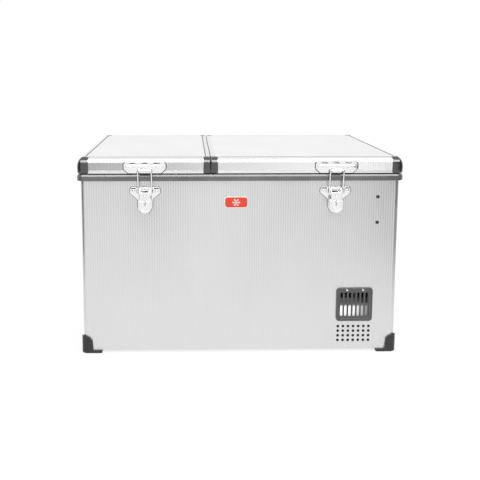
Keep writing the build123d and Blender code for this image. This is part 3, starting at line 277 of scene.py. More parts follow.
# Each look's maker and values: the looks of the record's slots, then the special ones.
MAKERS = {
    "embossed_steel": (embossed_steel, (0.70, 0.70, 0.70), 11 * MM, 0.14 * MM, 0.62, 0.34),
    "satin_lid_metal": (brushed_metal, (0.80, 0.80, 0.805), 0.28, (420, 420, 420), 0.2),
    "dark_plastic": (moulded, (0.016, 0.016, 0.015), 0.42, 1300, 0.05 * MM),
    "black_plastic": (moulded, (0.022, 0.022, 0.023), 0.45, 1100, 0.05 * MM),
    "chrome": (polished_metal, (0.83, 0.83, 0.835)),
    "pin_steel": (brushed_metal, (0.52, 0.52, 0.53), 0.3, ALONG_X, 0.3),
    "liner_plastic": (moulded, (0.78, 0.80, 0.81), 0.28, 420, 0.03 * MM, 0.3, 0.03),
    "basket_steel": (painted, (0.80, 0.80, 0.79), 0.32),
    "black_paint": (painted, (0.018, 0.018, 0.019), 0.25),
    "soft_rubber": (moulded, (0.030, 0.030, 0.031), 0.62, 900, 0.06 * MM),
    "copper": (copper_tube, (0.78, 0.40, 0.25)),
    "converter_metal": (brushed_metal, (0.58, 0.59, 0.60), 0.36, (30, 900, 900)),
    "roll_bond_aluminium": (brushed_metal, (0.80, 0.81, 0.82), 0.3, (900, 900, 50)),
    "galvanised_steel": (spangled_zinc, (0.50, 0.52, 0.53)),
    "foam": (rigid_foam, (0.86, 0.76, 0.50)),
    "display_glass": (painted, (0.010, 0.013, 0.018), 0.08),
    "button_plastic": (moulded, (0.42, 0.43, 0.45), 0.34, 1500, 0.02 * MM, 0.2, 0.06),
    "badge_plastic": (moulded, (0.68, 0.034, 0.004), 0.35, 900, 0.01 * MM, 0.15, 0.08),
    "lid_sheet": (embossed_steel, (0.81, 0.81, 0.81), 13 * MM, 0.03 * MM, 0.05, 0.42),
    # The rail faces: a darker copy of the rail metal as painted shade, lightening towards +X as painted light.
    "rail_face": (embossed_steel, (0.47, 0.47, 0.475), 9 * MM, 0.12 * MM, 0.6, 0.30, 2.05),
    "rim_plastic": (moulded, (0.100, 0.098, 0.104), 0.30, 1300, 0.03 * MM, 0.5),
    "cap_plastic": (moulded, (0.020, 0.020, 0.021), 0.2, 1300, 0.02 * MM, 0.8),
    "grille_plastic": (moulded, (0.050, 0.049, 0.049), 0.3, 1300, 0.03 * MM, 0.5),
    "bead_sealant": (moulded, (0.10, 0.10, 0.10), 0.5, 1500, 0.02 * MM),
    "fin_aluminium": (lit_fins,),
    "screw_dark": (brushed_metal, (0.09, 0.09, 0.095), 0.3, ALONG_X, 0.3),
    "pale_print": (moulded, (0.84, 0.82, 0.79), 0.4, 1500, 0.01 * MM, 0.0, 0.04),
    "segment_grey": (painted, (0.10, 0.12, 0.13), 0.3),
    "lamp_white": (painted, (0.82, 0.84, 0.86), 0.22),
    "lamp_green": (painted, (0.05, 0.30, 0.10), 0.2),
}
LOOKS = {name: make(name, *values) for name, (make, *values) in MAKERS.items()}


def dress_cad_nodes():
    """Gives every CAD node the look of its record slot, or a special one."""
    slots = {s["node"]: s["material_slot"] for s in frame["record"]["subparts"]}
    special = {"top_rim": "rim_plastic"}
    for side in SIDES:
        special[f"{side}_lid_top_sheet"] = "lid_sheet"
        special[f"{side}_lid_corner_caps"] = "cap_plastic"
    for name, node in NODES.items():
        node.data.materials.clear()
        node.data.materials.append(LOOKS[special.get(name, slots[name])])


def linked(name, data):
    """A new object in the scene."""
    thing = bpy.data.objects.new(name, data)
    bpy.context.scene.collection.objects.link(thing)
    return thing


# ---- shape helpers, in millimetres ----


def box_mm(node):
    """A CAD node's lowest and highest corners, in millimetres."""
    low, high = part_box(node)
    return low / MM, high / MM


def joint_mm(name):
    """Where a joint of the record turns, in millimetres."""
    joint = next(j for j in frame["joints"] if j["name"] == name)
    return Vector(joint["pos_m"]) / MM


FACINGS = {
    "front": ((1, 0, 0), (0, -1, 0)),
    "back": ((-1, 0, 0), (0, 1, 0)),
    "right": ((0, 1, 0), (1, 0, 0)),
    "left": ((0, -1, 0), (-1, 0, 0)),
}


def facing(way, x, y, z):
    """A place on one side of the case: local X to the viewer's right, local Y up, local Z outward."""
    right, out = FACINGS[way]
    place = Matrix((right, (0, 0, 1), out)).transposed().to_4x4()
    place.translation = (x, y, z)
    return place


def circle(radius, x=0.0, y=0.0, steps=28):
    turns = (2 * pi * i / steps for i in range(steps))
    return [(x + radius * cos(turn), y + radius * sin(turn)) for turn in turns]


def rounded(corners, steps=6):
    """A closed outline through (x, y, radius) corners, each one rounded by its radius."""
    outline = []
    for i, (x, y, radius) in enumerate(corners):
        here = Vector((x, y))
        a = Vector(corners[i - 1][:2]) - here
        b = Vector(corners[(i + 1) % len(corners)][:2]) - here
        half = a.angle(b) / 2
        cut = min(radius / tan(half), 0.49 * a.length, 0.49 * b.length)
        if cut < 1e-6:
            outline.append((x, y))
            continue
        centre = here + (a.normalized() + b.normalized()).normalized() * (cut / cos(half))
        start, end = here + a.normalized() * cut - centre, here + b.normalized() * cut - centre
        first = atan2(start.y, start.x)
        turn = (atan2(end.y, end.x) - first + pi) % (2 * pi) - pi
        for step in range(steps + 1):
            angle = first + turn * step / steps
            outline.append((centre.x + start.length * cos(angle), centre.y + start.length * sin(angle)))
    return outline


def mirrored(half):
    """A whole outline from its right half, which starts and ends beside the middle line."""
    flipped = [(-point[0], *point[1:]) for point in half]
    return flipped[:1] + half + flipped[:0:-1]


def area(loop):
    """The area inside a closed outline, negative when it runs clockwise."""
    return sum(a[0] * b[1] - b[0] * a[1] for a, b in zip(loop, loop[1:] + loop[:1])) / 2


def mitres(path):
    """At each corner of a closed outline, the step that moves both its sides outward by one."""
    sign = 1 if area(path) > 0 else -1
    steps = []
    for i, spot in enumerate(path):
        here = Vector(spot)
        a = (here - Vector(path[i - 1])).normalized()
        b = (Vector(path[(i + 1) % len(path)]) - here).normalized()
        out = Vector((a.y + b.y, -a.x - b.x)).normalized() * sign
        steps.append(out / max(0.3, out.dot(Vector((a.y, -a.x)) * sign)))
    return steps


def grown(loop, by):
    """An outline whose corners are moved outward by a distance."""
    steps = [step.normalized() * by for step in mitres(loop)]
    return [(x + step.x, y + step.y) for (x, y), step in zip(loop, steps)]


def crest(wide, high, top, steps):
    """A quarter of an ellipse, from its level top to its upright side at offset 0."""
    turns = [pi / 2 * i / steps for i in range(steps + 1)]
    return [(wide * (sin(t) - 1), top + high * (cos(t) - 1)) for t in turns]


def panel(width, height, radius, x=0.0, y=0.0):
    """A rounded rectangle round a middle point."""
    w, h = width / 2, height / 2
    return rounded([(x + u * w, y + v * h, radius) for u, v in ((-1, -1), (1, -1), (1, 1), (-1, 1))])


def bent(points, radius, steps=6):
    """An open run through points in space, with its corners rounded."""
    points = [Vector(point) for point in points]
    run = [points[0]]
    for before, here, after in zip(points, points[1:], points[2:]):
        a, b = before - here, after - here
        cut = min(radius / tan(a.angle(b) / 2), 0.48 * a.length, 0.48 * b.length)
        start, end = here + a.normalized() * cut, here + b.normalized() * cut
        for step in range(steps + 1):
            t = step / steps
            run.append(start * (1 - t) ** 2 + here * 2 * t * (1 - t) + end * t**2)
    return run + [points[-1]]


class Shape:
    """Collects the solid bits of one piece, in millimetres."""

    def __init__(self):
        self.bm = bmesh.new()

    def curve(self, kind, loops, closed, at, **settings):
        """Turns a bevelled Blender curve into mesh and takes it in."""
        curve = bpy.data.curves.new("curve", "CURVE")
        curve.dimensions = kind
        for key, value in settings.items():
            setattr(curve, key, value)
        for loop in loops:
            spline = curve.splines.new("POLY")
            spline.points.add(len(loop) - 1)
            for point, spot in zip(spline.points, loop):
                point.co = (*spot, 0, 1) if len(spot) == 2 else (*spot, 1)
            spline.use_cyclic_u = closed
        holder = linked("curve", curve)
        ready = holder.evaluated_get(bpy.context.evaluated_depsgraph_get())
        mesh = bpy.data.meshes.new_from_object(ready)
        mesh.transform(at)
        self.bm.from_mesh(mesh)
        bpy.data.meshes.remove(mesh)
        bpy.data.objects.remove(holder)
        bpy.data.curves.remove(curve)

    def plate(self, loops, thick, bevel, at):
        """A flat plate that stands on local Z = 0: an outline, then any holes, with softened edges."""
        loops = [loop[:] for loop in loops]
        for i, loop in enumerate(loops):
            if (area(loop) > 0) != (i == 0):
                loop.reverse()
        edges = {"extrude": thick / 2 - bevel, "bevel_depth": bevel, "offset": -bevel, "bevel_resolution": 2}
        self.curve("2D", loops, True, at @ Matrix.Translation((0, 0, thick / 2)), fill_mode="BOTH", **edges)

    def wires(self, runs, radius, closed=False, resolution=3):
        """Round wires or tubes along runs of points in space."""
        settings = {"bevel_depth": radius, "bevel_resolution": resolution, "use_fill_caps": not closed}
        self.curve("3D", runs, closed, Matrix(), fill_mode="FULL", **settings)

    def ring(self, points):
        return [self.bm.verts.new(point) for point in points]

    def skin(self, rings, closed=False):
        """Joins each ring to the next, then closes the run or fills both its ends."""
        following = rings[1:] + rings[:1] if closed else rings[1:]
        for ring, other in zip(rings, following):
            for i in range(len(ring)):
                j = (i + 1) % len(ring)
                self.bm.faces.new((ring[i], other[i], other[j], ring[j]))
        if not closed:
            self.bm.faces.new(rings[0])
            self.bm.faces.new(rings[-1])

    def lathe(self, profile, at, steps=32):
        """A turned shape from (radius, height) points about local Z."""
        rings = [[at @ Vector((x, y, z)) for x, y in circle(r, steps=steps)] for r, z in profile]
        self.skin([self.ring(points) for points in rings])

    def hoop(self, path, profile):
        """Carries a closed (offset, height) profile round a closed level path, offset measured outward."""
        rings = []
        for (x, y), step in zip(path, mitres(path)):
            rings.append(self.ring((x + step.x * o, y + step.y * o, z) for o, z in profile))
        self.skin(rings, closed=True)

    def sweep(self, path, profile, centre):
        """Carries an (offset, height) profile along an open path, offset measured away from a centre."""
        rings = []
        for i, (x, y) in enumerate(path):
            before, after = path[max(i - 1, 0)], path[min(i + 1, len(path) - 1)]
            out = Vector((after[1] - before[1], before[0] - after[0])).normalized()
            if out.dot(Vector((x, y)) - centre) < 0:
                out.negate()
            rings.append(self.ring((x + out.x * o, y + out.y * o, z) for o, z in profile))
        self.skin(rings)

    def screw(self, at, radius, height):
        """A low round head with a cross recess."""
        arm, half, floor = radius * 0.62, radius * 0.17, height * 0.35
        cross = [(arm, half), (half, half), (half, arm), (-half, arm), (-half, half), (-arm, half)]
        cross += [(-x, -y) for x, y in cross]
        self.plate([circle(radius), cross], height, floor, at)
        self.plate([circle(radius * 0.7, steps=16)], floor, 0.0, at)

    def rivet(self, at, radius, height):
        """A domed head."""
        dome = ((1, 0), (0.96, 0.4), (0.72, 0.82), (0.3, 1))
        self.lathe([(radius * r, height * z) for r, z in dome], at, 20)

    def done(self, name, slot, *nodes, body="cabinet", look=None, sharp=38):
        """Makes the piece, in metres, and has it ride on a body and stand for CAD nodes."""
        bmesh.ops.remove_doubles(self.bm, verts=self.bm.verts, dist=0.0005)
        bmesh.ops.recalc_face_normals(self.bm, faces=self.bm.faces)
        mesh = bpy.data.meshes.new(name)
        self.bm.to_mesh(mesh)
        self.bm.free()
        mesh.transform(Matrix.Scale(MM, 4))
        mesh.shade_smooth()
        mesh.set_sharp_from_angle(angle=radians(sharp))
        mesh.materials.append(LOOKS[look or slot])
        piece = linked(name, mesh)
        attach(piece, body)
        if nodes:
            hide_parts(*nodes)
        return piece


# ---- draw latches ----

PADLOCK_Z = 367.0  # the padlock eye on the case, and the lever's slot for it


def make_latch_base(side):
    """The plate on the case: two pressed wings, an ear beside each side of the lever, and a padlock eye."""
    name = f"{side}_latch_base"
    low, high = box_mm(name)
    pin = joint_mm(f"{side}_latch_lever_hinge")
    x, top = (low.x + high.x) / 2, high.z
    sheet, ear_x, ear_thick, rivet_x, eye_half = 1.5, 20, 2.0, 27, 3
    face = facing("front", x, FRONT, 0)
    wing = rounded(mirrored([(32, top, 2), (36, top - 6, 3), (36, top - 14, 4), (18, top - 29, 5),
                             (17, low.z + 14, 6), (9, low.z, 8)]))
    pressed = [(14, top - 3, 1.5), (31, top - 3, 1.5), (33.5, top - 8, 2), (33, top - 13, 2),
               (20, top - 24, 2), (14, top - 24, 2)]
    ear = rounded([(FRONT - 1, top - 15, 1), (FRONT - 6, top - 15, 2), (FRONT - 8, top - 9, 2),
                   (FRONT - 8, top - 2, 2.5), (FRONT - 3, top, 2), (FRONT - 1, top - 1, 0.5)])
    shape = Shape()
    shape.plate([wing], sheet, 0.5, face)
    for way, away in (("left", -1), ("right", 1)):
        raised = rounded([(away * u, v, radius) for u, v, radius in pressed])
        shape.plate([raised], 0.9, 0.4, facing("front", x, FRONT - 1.3, 0))
        shape.rivet(facing("front", x + away * rivet_x, FRONT - 2.0, top - 9), 3.2, 1.6)
        shape.plate([ear], ear_thick, 0.4, facing("right", x + away * ear_x - ear_thick / 2, 0, 0))
        shape.rivet(facing(way, x + away * (ear_x + 0.9), pin.y, pin.z), 2.4, 1.0)
    upper, lower = PADLOCK_Z + eye_half, PADLOCK_Z - eye_half
    eye = [(x, FRONT - 1, upper), (x, low.y + 1, upper), (x, low.y + 1, lower), (x, FRONT - 1, lower)]
    shape.wires([bent(eye, 2.6)], 0.9)
    shape.done(f"{name}_pressing", "chrome", name)
    # The pad: a dark rubber sheet under the pressing. Its rim round the plate is painted shade for the shadow at
    # the plate's edge, and its two strips near the wings' top are painted shadow lines.
    shade_pad = Shape()
    shade_pad.plate([grown(wing, 0.9)], 0.35, 0.1, face)
    for away in (-1, 1):
        shade = panel(13, 2.2, 1.0, away * 25.5, top - 3.4)
        shade_pad.plate([shade], 0.4, 0.1, facing("front", x, FRONT - 2.1, 0))
    shade_pad.done(f"{name}_pad", "soft_rubber")


def make_latch_lever(side):
    """A pressed lever: a slot for the padlock eye, a raised rib, and a flange with holes on each side."""
    name = f"{side}_latch_lever"
    low, high = box_mm(name)
    pin, eye = joint_mm(f"{name}_hinge"), joint_mm(f"{side}_latch_bail_hinge")
    x, face_y, top, bottom = (low.x + high.x) / 2, low.y, pin.z - 6, low.z
    thick, flange_x, flange_thick, rib_middle, rib_inner = 1.7, 11.75, 1.5, 359.0, 0.86
    outline = rounded(mirrored([(12.5, top, 1.5), (12.5, top - 15, 2), (17, top - 19, 3),
                                (15.8, bottom + 11, 9), (7, bottom, 9)]))
    slot = panel(2.4, 12, 1.1, 0, PADLOCK_Z)
    pressed_v = rounded([(-4.6, top - 3.5, 0.6), (4.6, top - 3.5, 0.6), (0, top - 10.5, 0.8)])
    back = facing("front", x, face_y + thick, 0)
    shape = Shape()
    shape.plate([outline, slot, pressed_v], thick, 0.6, back)
    shape.plate([panel(12, 9, 1, 0, top - 6.5)], 1.0, 0.1, back)
    rib = rounded(mirrored([(13.5, PADLOCK_Z + 4, 2), (12.5, bottom + 11, 8), (5, bottom + 3.4, 6)]))
    inner = [(u * rib_inner, rib_middle + (v - rib_middle) * rib_inner) for u, v in rib]
    shape.plate([rib, inner], 0.55, 0.25, facing("front", x, face_y + 0.3, 0))
    flange = rounded([(face_y + 1, top - 1, 0.5), (face_y + 1, top - 12, 1), (eye.y + 2.6, top - 12, 1.5),
                      (pin.y + 2.6, pin.z - 2.6, 2), (pin.y + 2.6, pin.z + 2.6, 2.2),
                      (pin.y - 2.4, pin.z + 2.6, 2.2)])
    holes = [circle(2.1, eye.y, eye.z, 16), circle(1.58, pin.y, pin.z, 16)]
    for away in (-1, 1):
        place = facing("right", x + away * flange_x - flange_thick / 2, 0, 0)
        shape.plate([flange] + holes, flange_thick, 0.3, place)
    shape.done(f"{name}_pressing", "chrome", name, body=name)


def make_latch_bail(side):
    """A wire bail that stands up from its two eyes in the lever."""
    name = f"{side}_latch_bail"
    low, high = box_mm(name)
    eye = joint_mm(f"{name}_hinge")
    radius, tail = 2.0, 8
    x, half = (low.x + high.x) / 2, (high.x - low.x) / 2 - radius
    run = [(x - tail, eye.y, eye.z), (x - half, eye.y, eye.z), (x - half, low.y + radius, high.z - radius)]
    run += [(2 * x - a, b, c) for a, b, c in reversed(run)]
    shape = Shape()
    shape.wires([bent(run, 4.5, 8)], radius, resolution=6)
    shape.done(f"{name}_wire", "chrome", name, body=name)


def make_latch_keeper(side):
    """The slotted plate on the lid, with the upturned hook that the bail pulls on."""
    name, lid = f"{side}_latch_keeper", f"{side}_lid"
    low, high = box_mm(name)
    x, back, half = (low.x + high.x) / 2, high.y, (high.x - low.x) / 2
    top, bottom, hook_wide, hook_thick, screw_x = high.z, low.z, 24, 1.9, 30
    outline = rounded(mirrored([(half - 4, top, 2), (half, top - 5, 3), (half, top - 16, 6),
                                (half - 11, bottom, 7)]))
    slots = [panel(14, 2.4, 1.1, u, top - 3.3) for u in (-27.5, 0, 27.5)]
    shape = Shape()
    shape.plate([outline] + slots, 1.8, 0.6, facing("front", x, back, 0))
    raised = mirrored([(half - 5, top - 8, 3), (half - 6, top - 15, 4), (half - 14, bottom + 4, 5)])
    shape.plate([rounded(raised)], 1.1, 0.7, facing("front", x, back - 1.4, 0))
    hook = [(back - 1, bottom + 1.6, 0.6), (low.y, bottom + 1.6, 2.0), (low.y, bottom + 11, 0.8),
            (low.y + hook_thick, bottom + 11, 0.8), (low.y + hook_thick, bottom + 3.8, 1.0),
            (back - 1, bottom + 3.8, 0.6)]
    shape.plate([rounded(hook)], hook_wide, 0.5, facing("right", x - hook_wide / 2, 0, 0))
    for away in (-1, 1):
        shape.screw(facing("front", x + away * screw_x, back - 2.4, top - 11.5), 3.4, 1.4)
    shape.done(f"{name}_pressing", "chrome", name, body=lid)
    # The pad: a dark rubber sheet under the keeper, wider than it. Its rim is painted shade for the shadow round
    # the plate's edge, and it shows dark through the slots.
    shade_pad = Shape()
    shade_pad.plate([grown(outline, 1.5)], 0.5, 0.1, facing("front", x, back, 0))
    shade_pad.done(f"{name}_pad", "soft_rubber", body=lid)


# ---- lids ----


def make_lid_rails(side):
    """Rails with a rounded top edge, a dashed face, a groove and a bright lip, between the corner caps."""
    low, high = box_mm(f"{side}_lid_frame")
    outer_low, outer_high = box_mm(f"{side}_lid_corner_caps")
    cap, seam_cap, end_inset, bottom, top, round_r = 26.6, 16.0, 0.8, low.z, high.z, 14.0
    face = [(0, top - 17), (-0.35, top - 23), (-0.2, bottom + 6.9)]
    groove = [(-1.1, bottom + 6.3), (-1.1, bottom + 5.4)]
    lip = [(-0.3, bottom + 4.9), (0.5, bottom + 1.2), (0.1, bottom)]
    inner = [(-20, bottom), (-20.5, top - 1.4), (-18.2, top - 1.4), (-17.6, top - 0.5)]
    rail = inner[2:] + crest(round_r, round_r, top, 9) + face + groove + lip + inner[:2]
    seam = [(-11.2, top - 1.4), (-10.8, top - 0.5), (-9.8, top), (-1.2, top), (0, top - 1.2),
            (0, bottom + 6.9), (-1, bottom + 6.3), (-1, bottom + 5.4), (0, bottom + 4.9), (0, bottom),
            (-13.6, bottom), (-13.6, top - 1.4)]
    outer_x, seam_x = (outer_low.x, high.x) if side == "left" else (outer_high.x, low.x)
    away = 1 if outer_x > seam_x else -1
    start, end = outer_x - away * cap, seam_x + away * seam_cap
    middle, length, width = (start + end) / 2, abs(end - start), outer_high.y - outer_low.y - 2 * cap
    shape = Shape()
    runs = (
        (rail, (0, -1, 0), (middle, low.y, 0), length),
        (rail, (0, 1, 0), (middle, high.y, 0), length),
        (rail, (away, 0, 0), (outer_x - away * end_inset, 0, 0), width),
        (seam, (-away, 0, 0), (seam_x, 0, 0), width),
    )
    for profile, outward, spot, extent in runs:
        at, out = Vector(spot), Vector(outward)
        along = Vector((-out.y, out.x, 0)) * extent / 2
        points = [out * offset + Vector((0, 0, z)) for offset, z in profile]
        shape.skin([shape.ring(at + step + point for point in points) for step in (-along, along)])
    piece = shape.done(f"{side}_lid_rails", "satin_lid_metal", f"{side}_lid_frame", body=f"{side}_lid")
    # The upright face of each rail gets the rail_face look: painted shade, lighter to the right as painted light.
    piece.data.materials.append(LOOKS["rail_face"])
    for polygon in piece.data.polygons:
        if abs(polygon.normal.z) < 0.2 and bottom + 6 < polygon.center.z / MM < top - 10:
            polygon.material_index = 1


def make_corner_caps(side):
    """Dark caps over the rails' ends: two bent round the outer corners and two straight ones at the seam."""
    low, high = box_mm(f"{side}_lid_frame")
    cap_low, cap_high = box_mm(f"{side}_lid_corner_caps")
    corner, seam_cap, radius, top, slope_wide, slope_high = 27.0, 16.4, 11.0, high.z + 0.5, 17, 22
    outer_x, seam_x = (cap_low.x, high.x) if side == "left" else (cap_high.x, low.x)
    away = 1 if outer_x > seam_x else -1
    centre = Vector(((outer_x + seam_x) / 2, 0))
    profile = [(-20.5, top - 1.2), (-19.4, top - 0.1)] + crest(slope_wide, slope_high, top, 10) + [
        (0, low.z + 10.5), (-0.5, low.z + 1), (-1.4, low.z - 0.2), (-20.5, low.z - 0.2)]
    bend = [(-v, -u) for u, v in crest(radius, radius, 0, 6)]
    shape = Shape()
    for edge_y, inward in ((cap_low.y, 1), (cap_high.y, -1)):
        outline = [(0, corner)] + bend + [(corner, 0)]
        shape.sweep([(outer_x - away * u, edge_y + inward * v) for u, v in outline], profile, centre)
        straight = ((-0.2, 1.2), (1.4, 0), (seam_cap, 0))
        shape.sweep([(seam_x + away * u, edge_y + inward * v) for u, v in straight], profile, centre)
    lid = f"{side}_lid"
    shape.done(f"{lid}_caps", "dark_plastic", f"{lid}_corner_caps", look="cap_plastic", body=lid)


def make_panel_bead(side):
    """A dark sealing bead along the front and the ends of the top sheet, left out at the right lid's seam."""
    low, high = box_mm(f"{side}_lid_top_sheet")
    cut, top = 3.0, high.z
    path = [(low.x, high.y), (low.x, low.y + cut), (low.x + cut, low.y)]
    path += [(high.x - cut, low.y), (high.x, low.y + cut), (high.x, high.y)]
    if side == "right":
        path = path[2:]
    profile = [(-1.2, top - 0.2), (-0.9, top + 0.4), (0.2, top + 0.7), (1.7, top + 0.4), (2.1, top - 0.3),
               (1.8, top - 0.9), (-1.0, top - 0.9)]
    shape = Shape()
    shape.sweep(path, profile, Vector(((low.x + high.x) / 2, 0)))
    shape.done(f"{side}_lid_bead", "soft_rubber", look="bead_sealant", body=f"{side}_lid")


def make_seam_strip():
    """A rubber strip on the left lid's edge that fills most of the seam between the lids."""
    low, high = box_mm("left_lid_frame")
    gap = box_mm("right_lid_frame")[0].x - high.x
    wide, top, deep, short = 0.75 * gap, high.z - 0.5, 9, 18
    middle = (low + high) / 2
    profile = [(-0.3, top - deep), (wide, top - deep), (wide, top - 0.4), (wide - 0.4, top), (-0.3, top)]
    shape = Shape()
    path = [(high.x, y) for y in (low.y + short, middle.y, high.y - short)]
    shape.sweep(path, profile, middle.xy)
    shape.done("lid_seam_strip", "soft_rubber", body="left_lid")


def make_rim_edge():
    """A moulded band round the rim, with a sloped upper edge that catches the light."""
    low, high = box_mm("top_rim")
    size, middle, bottom, top = high - low, (low + high) / 2, low.z, high.z
    profile = [(-2.5, bottom - 0.2), (0.6, bottom - 0.2), (1.4, bottom + 0.6), (1.5, top - 5.2),
               (1.0, top - 4.0), (-1.4, top - 0.7), (-2.5, top - 0.4)]
    shape = Shape()
    shape.hoop(panel(size.x, size.y, 16, middle.x, middle.y), profile)
    shape.done("rim_edge_moulding", "dark_plastic", look="rim_plastic")


def make_gasket(side):
    """A bellows seal: a magnet bulb at the bottom, a thin waist and a foot in the lid's channel."""
    cap_low, cap_high = box_mm(f"{side}_lid_corner_caps")
    low, high = box_mm(f"{side}_lid_gasket")
    bottom, top, inset, seam_inset, corner = low.z, high.z, 11, 7.5, 8
    left, right = (inset, seam_inset) if side == "left" else (seam_inset, inset)
    start, end = cap_low.xy + Vector((left, inset)), cap_high.xy - Vector((right, inset))
    path = panel(*(end - start), corner, *(start + end) / 2)
    profile = mirrored([(4.0, bottom), (4.6, bottom + 0.8), (4.4, bottom + 1.7), (2.6, bottom + 2.2),
                        (3.6, bottom + 3.0), (4.9, top)])
    shape = Shape()
    shape.hoop(path, profile)
    shape.done(f"{side}_lid_seal", "soft_rubber", f"{side}_lid_gasket", body=f"{side}_lid")


# ---- vents, badge and screws ----


def make_front_grille():
    """A framed vent with two rows of upright slots."""
    low, high = box_mm("front_grille")
    size, middle = high - low, (low + high) / 2
    pitch, slot_wide, columns, shift = 9.93, 5.7, 7, -0.8
    rows = [(start - size.z / 2, end - size.z / 2) for start, end in ((11.6, 40.4), (43.8, 70.2))]
    slots = [panel(slot_wide, end - start, 2.2, shift + (i - 3) * pitch, (start + end) / 2)
             for start, end in rows for i in range(columns)]
    place = facing("front", middle.x, high.y, middle.z)
    shape = Shape()
    shape.plate([panel(size.x, size.z, 8), panel(70, 64, 4, shift, -1.5)], size.y, 1.3, place)
    shape.plate([panel(71, 65, 4, shift, -1.5)] + slots, size.y - 1.6, 0.35, place)
    shape.done("front_vent_louvre", "dark_plastic", "front_grille", look="grille_plastic")


def make_fin_pack():
    """The condenser's thin plates, each folded over at its front edge."""
    low, high = box_mm("condenser_fins")
    size, pitch, sheet, fold = high - low, 2.65, 0.35, 1.8
    fin = [(0, 0), (fold, 0), (fold, sheet), (sheet, sheet), (sheet, size.y), (0, size.y)]
    shape = Shape()
    for i in range(int(size.x / pitch)):
        shape.plate([fin], size.z, 0.05, Matrix.Translation((low.x + i * pitch, low.y, low.z)))
    shape.done("condenser_fin_pack", "roll_bond_aluminium", "condenser_fins", look="fin_aluminium")


def make_side_grille():
    """A vent with two columns of level slots and a screw near each corner."""
    low, high = box_mm("side_grille")
    size, middle = high - low, (low + high) / 2
    slot_long, slot_high, slot_y, pitch, rows = 74, 6, 41, 10.5, 7
    slots = [panel(slot_long, slot_high, 2.6, u, (i - 3) * pitch)
             for u in (-slot_y, slot_y) for i in range(rows)]
    place = facing("right", low.x, middle.y, middle.z)
    shape = Shape()
    shape.plate([panel(size.y, size.z, 8), panel(size.y - 12, size.z - 12, 5)], size.x, 1.2, place)
    shape.plate([panel(size.y - 11, size.z - 11, 5)] + slots, size.x - 1.0, 0.4, place)
    for y in (low.y + 11, high.y - 11):
        for z in (low.z + 10.5, high.z - 10.5):
            shape.screw(facing("right", high.x - 1.0, y, z), 2.6, 1.2)
    shape.done("side_vent_louvre", "dark_plastic", "side_grille")


def make_badge():
    """An orange plate in a pale border, with a pale snowflake in place of any mark."""
    low, high = box_mm("badge")
    size, middle, wall = high - low, (low + high) / 2, high.y
    border_wide, corner, arm_long, twig_long = 1.7, 7, 9.2, 2.9

    def place(out):
        return facing("front", middle.x, wall - out, middle.z)

    def stick(length, half):
        return [(0, -half), (length, -half), (length, half), (0, half)]

    border = Shape()
    border.plate([panel(size.x, size.z, corner)], 1.5, 0.6, place(0))
    border.done("badge_border", "badge_plastic", look="pale_print")
    field = Shape()
    inner = panel(size.x - 2 * border_wide, size.z - 2 * border_wide, 0.8 * corner)
    field.plate([inner], 0.9, 0.4, place(1.2))
    field.done("badge_field", "badge_plastic", "badge")
    flake = Shape()
    for arm in range(6):
        turned = place(1.9) @ Matrix.Rotation(radians(60 * arm), 4, "Z")
        flake.plate([stick(arm_long, 0.55)], 0.5, 0.1, turned)
        for reach in (4.2, 6.6):
            for lean in (-52, 52):
                twig = turned @ Matrix.Translation((reach, 0, 0)) @ Matrix.Rotation(radians(lean), 4, "Z")
                flake.plate([stick(twig_long, 0.4)], 0.5, 0.1, twig)
    flake.done("badge_snowflake", "badge_plastic", look="pale_print")


def make_screws():
    """The screws of the case, its control panel and its handle plates, and two bright ones in the vent."""
    bracket_x, bracket_heights, vent_xs, vent_z, handle_y = 322.3, (317, 378), (255.3, 293.2), 153.6, 58
    shape = Shape()
    for z in bracket_heights:
        shape.screw(facing("front", bracket_x, FRONT, z), 4.0, 1.8)
    low, high = box_mm("control_panel")
    for y in (low.y + 7, high.y - 7):
        for z in (low.z + 7, high.z - 7):
            shape.screw(facing("right", high.x, y, z), 3.0, 1.2)
    pivot = joint_mm("right_handle_hinge")
    for way, face in (("right", RIGHT_END + 3), ("left", LEFT_END - 3)):
        for y in (-handle_y, handle_y):
            for z in (pivot.z - 60, pivot.z + 16):
                shape.screw(facing(way, face, y, z), 4.0, 1.6)
    shape.done("case_screws", "pin_steel", "body_screws", look="screw_dark")
    bright = Shape()
    for x in vent_xs:
        bright.screw(facing("front", x, box_mm("front_grille")[0].y, vent_z), 2.6, 1.2)
    bright.done("grille_screws", "pin_steel", look="chrome")


def make_hinge_screws():
    """Three screws in each hinge leaf on the case, and two in each one on the lids."""
    leaf_half, leaf_out, case_z = 30, 9.2, box_mm("body_hinge_leaves")[0].z + 12
    case, lids = Shape(), {side: Shape() for side in SIDES}
    for side, lid in lids.items():
        low, high = box_mm(f"{side}_lid_hinge_leaves")
        for x in (low.x + leaf_half, high.x - leaf_half):
            for u, rise in ((-20, 8), (0, 0), (20, 8)):
                case.screw(facing("back", x + u, BACK + leaf_out, case_z + rise), 3.2, 1.3)
            for u in (-21, 21):
                lid.screw(facing("back", x + u, low.y + 2, high.z - 6.5), 3.0, 1.2)
    case.done("case_hinge_screws", "pin_steel")
    for side, lid in lids.items():
        lid.done(f"{side}_lid_hinge_screws", "pin_steel", body=f"{side}_lid")


# ---- handles ----


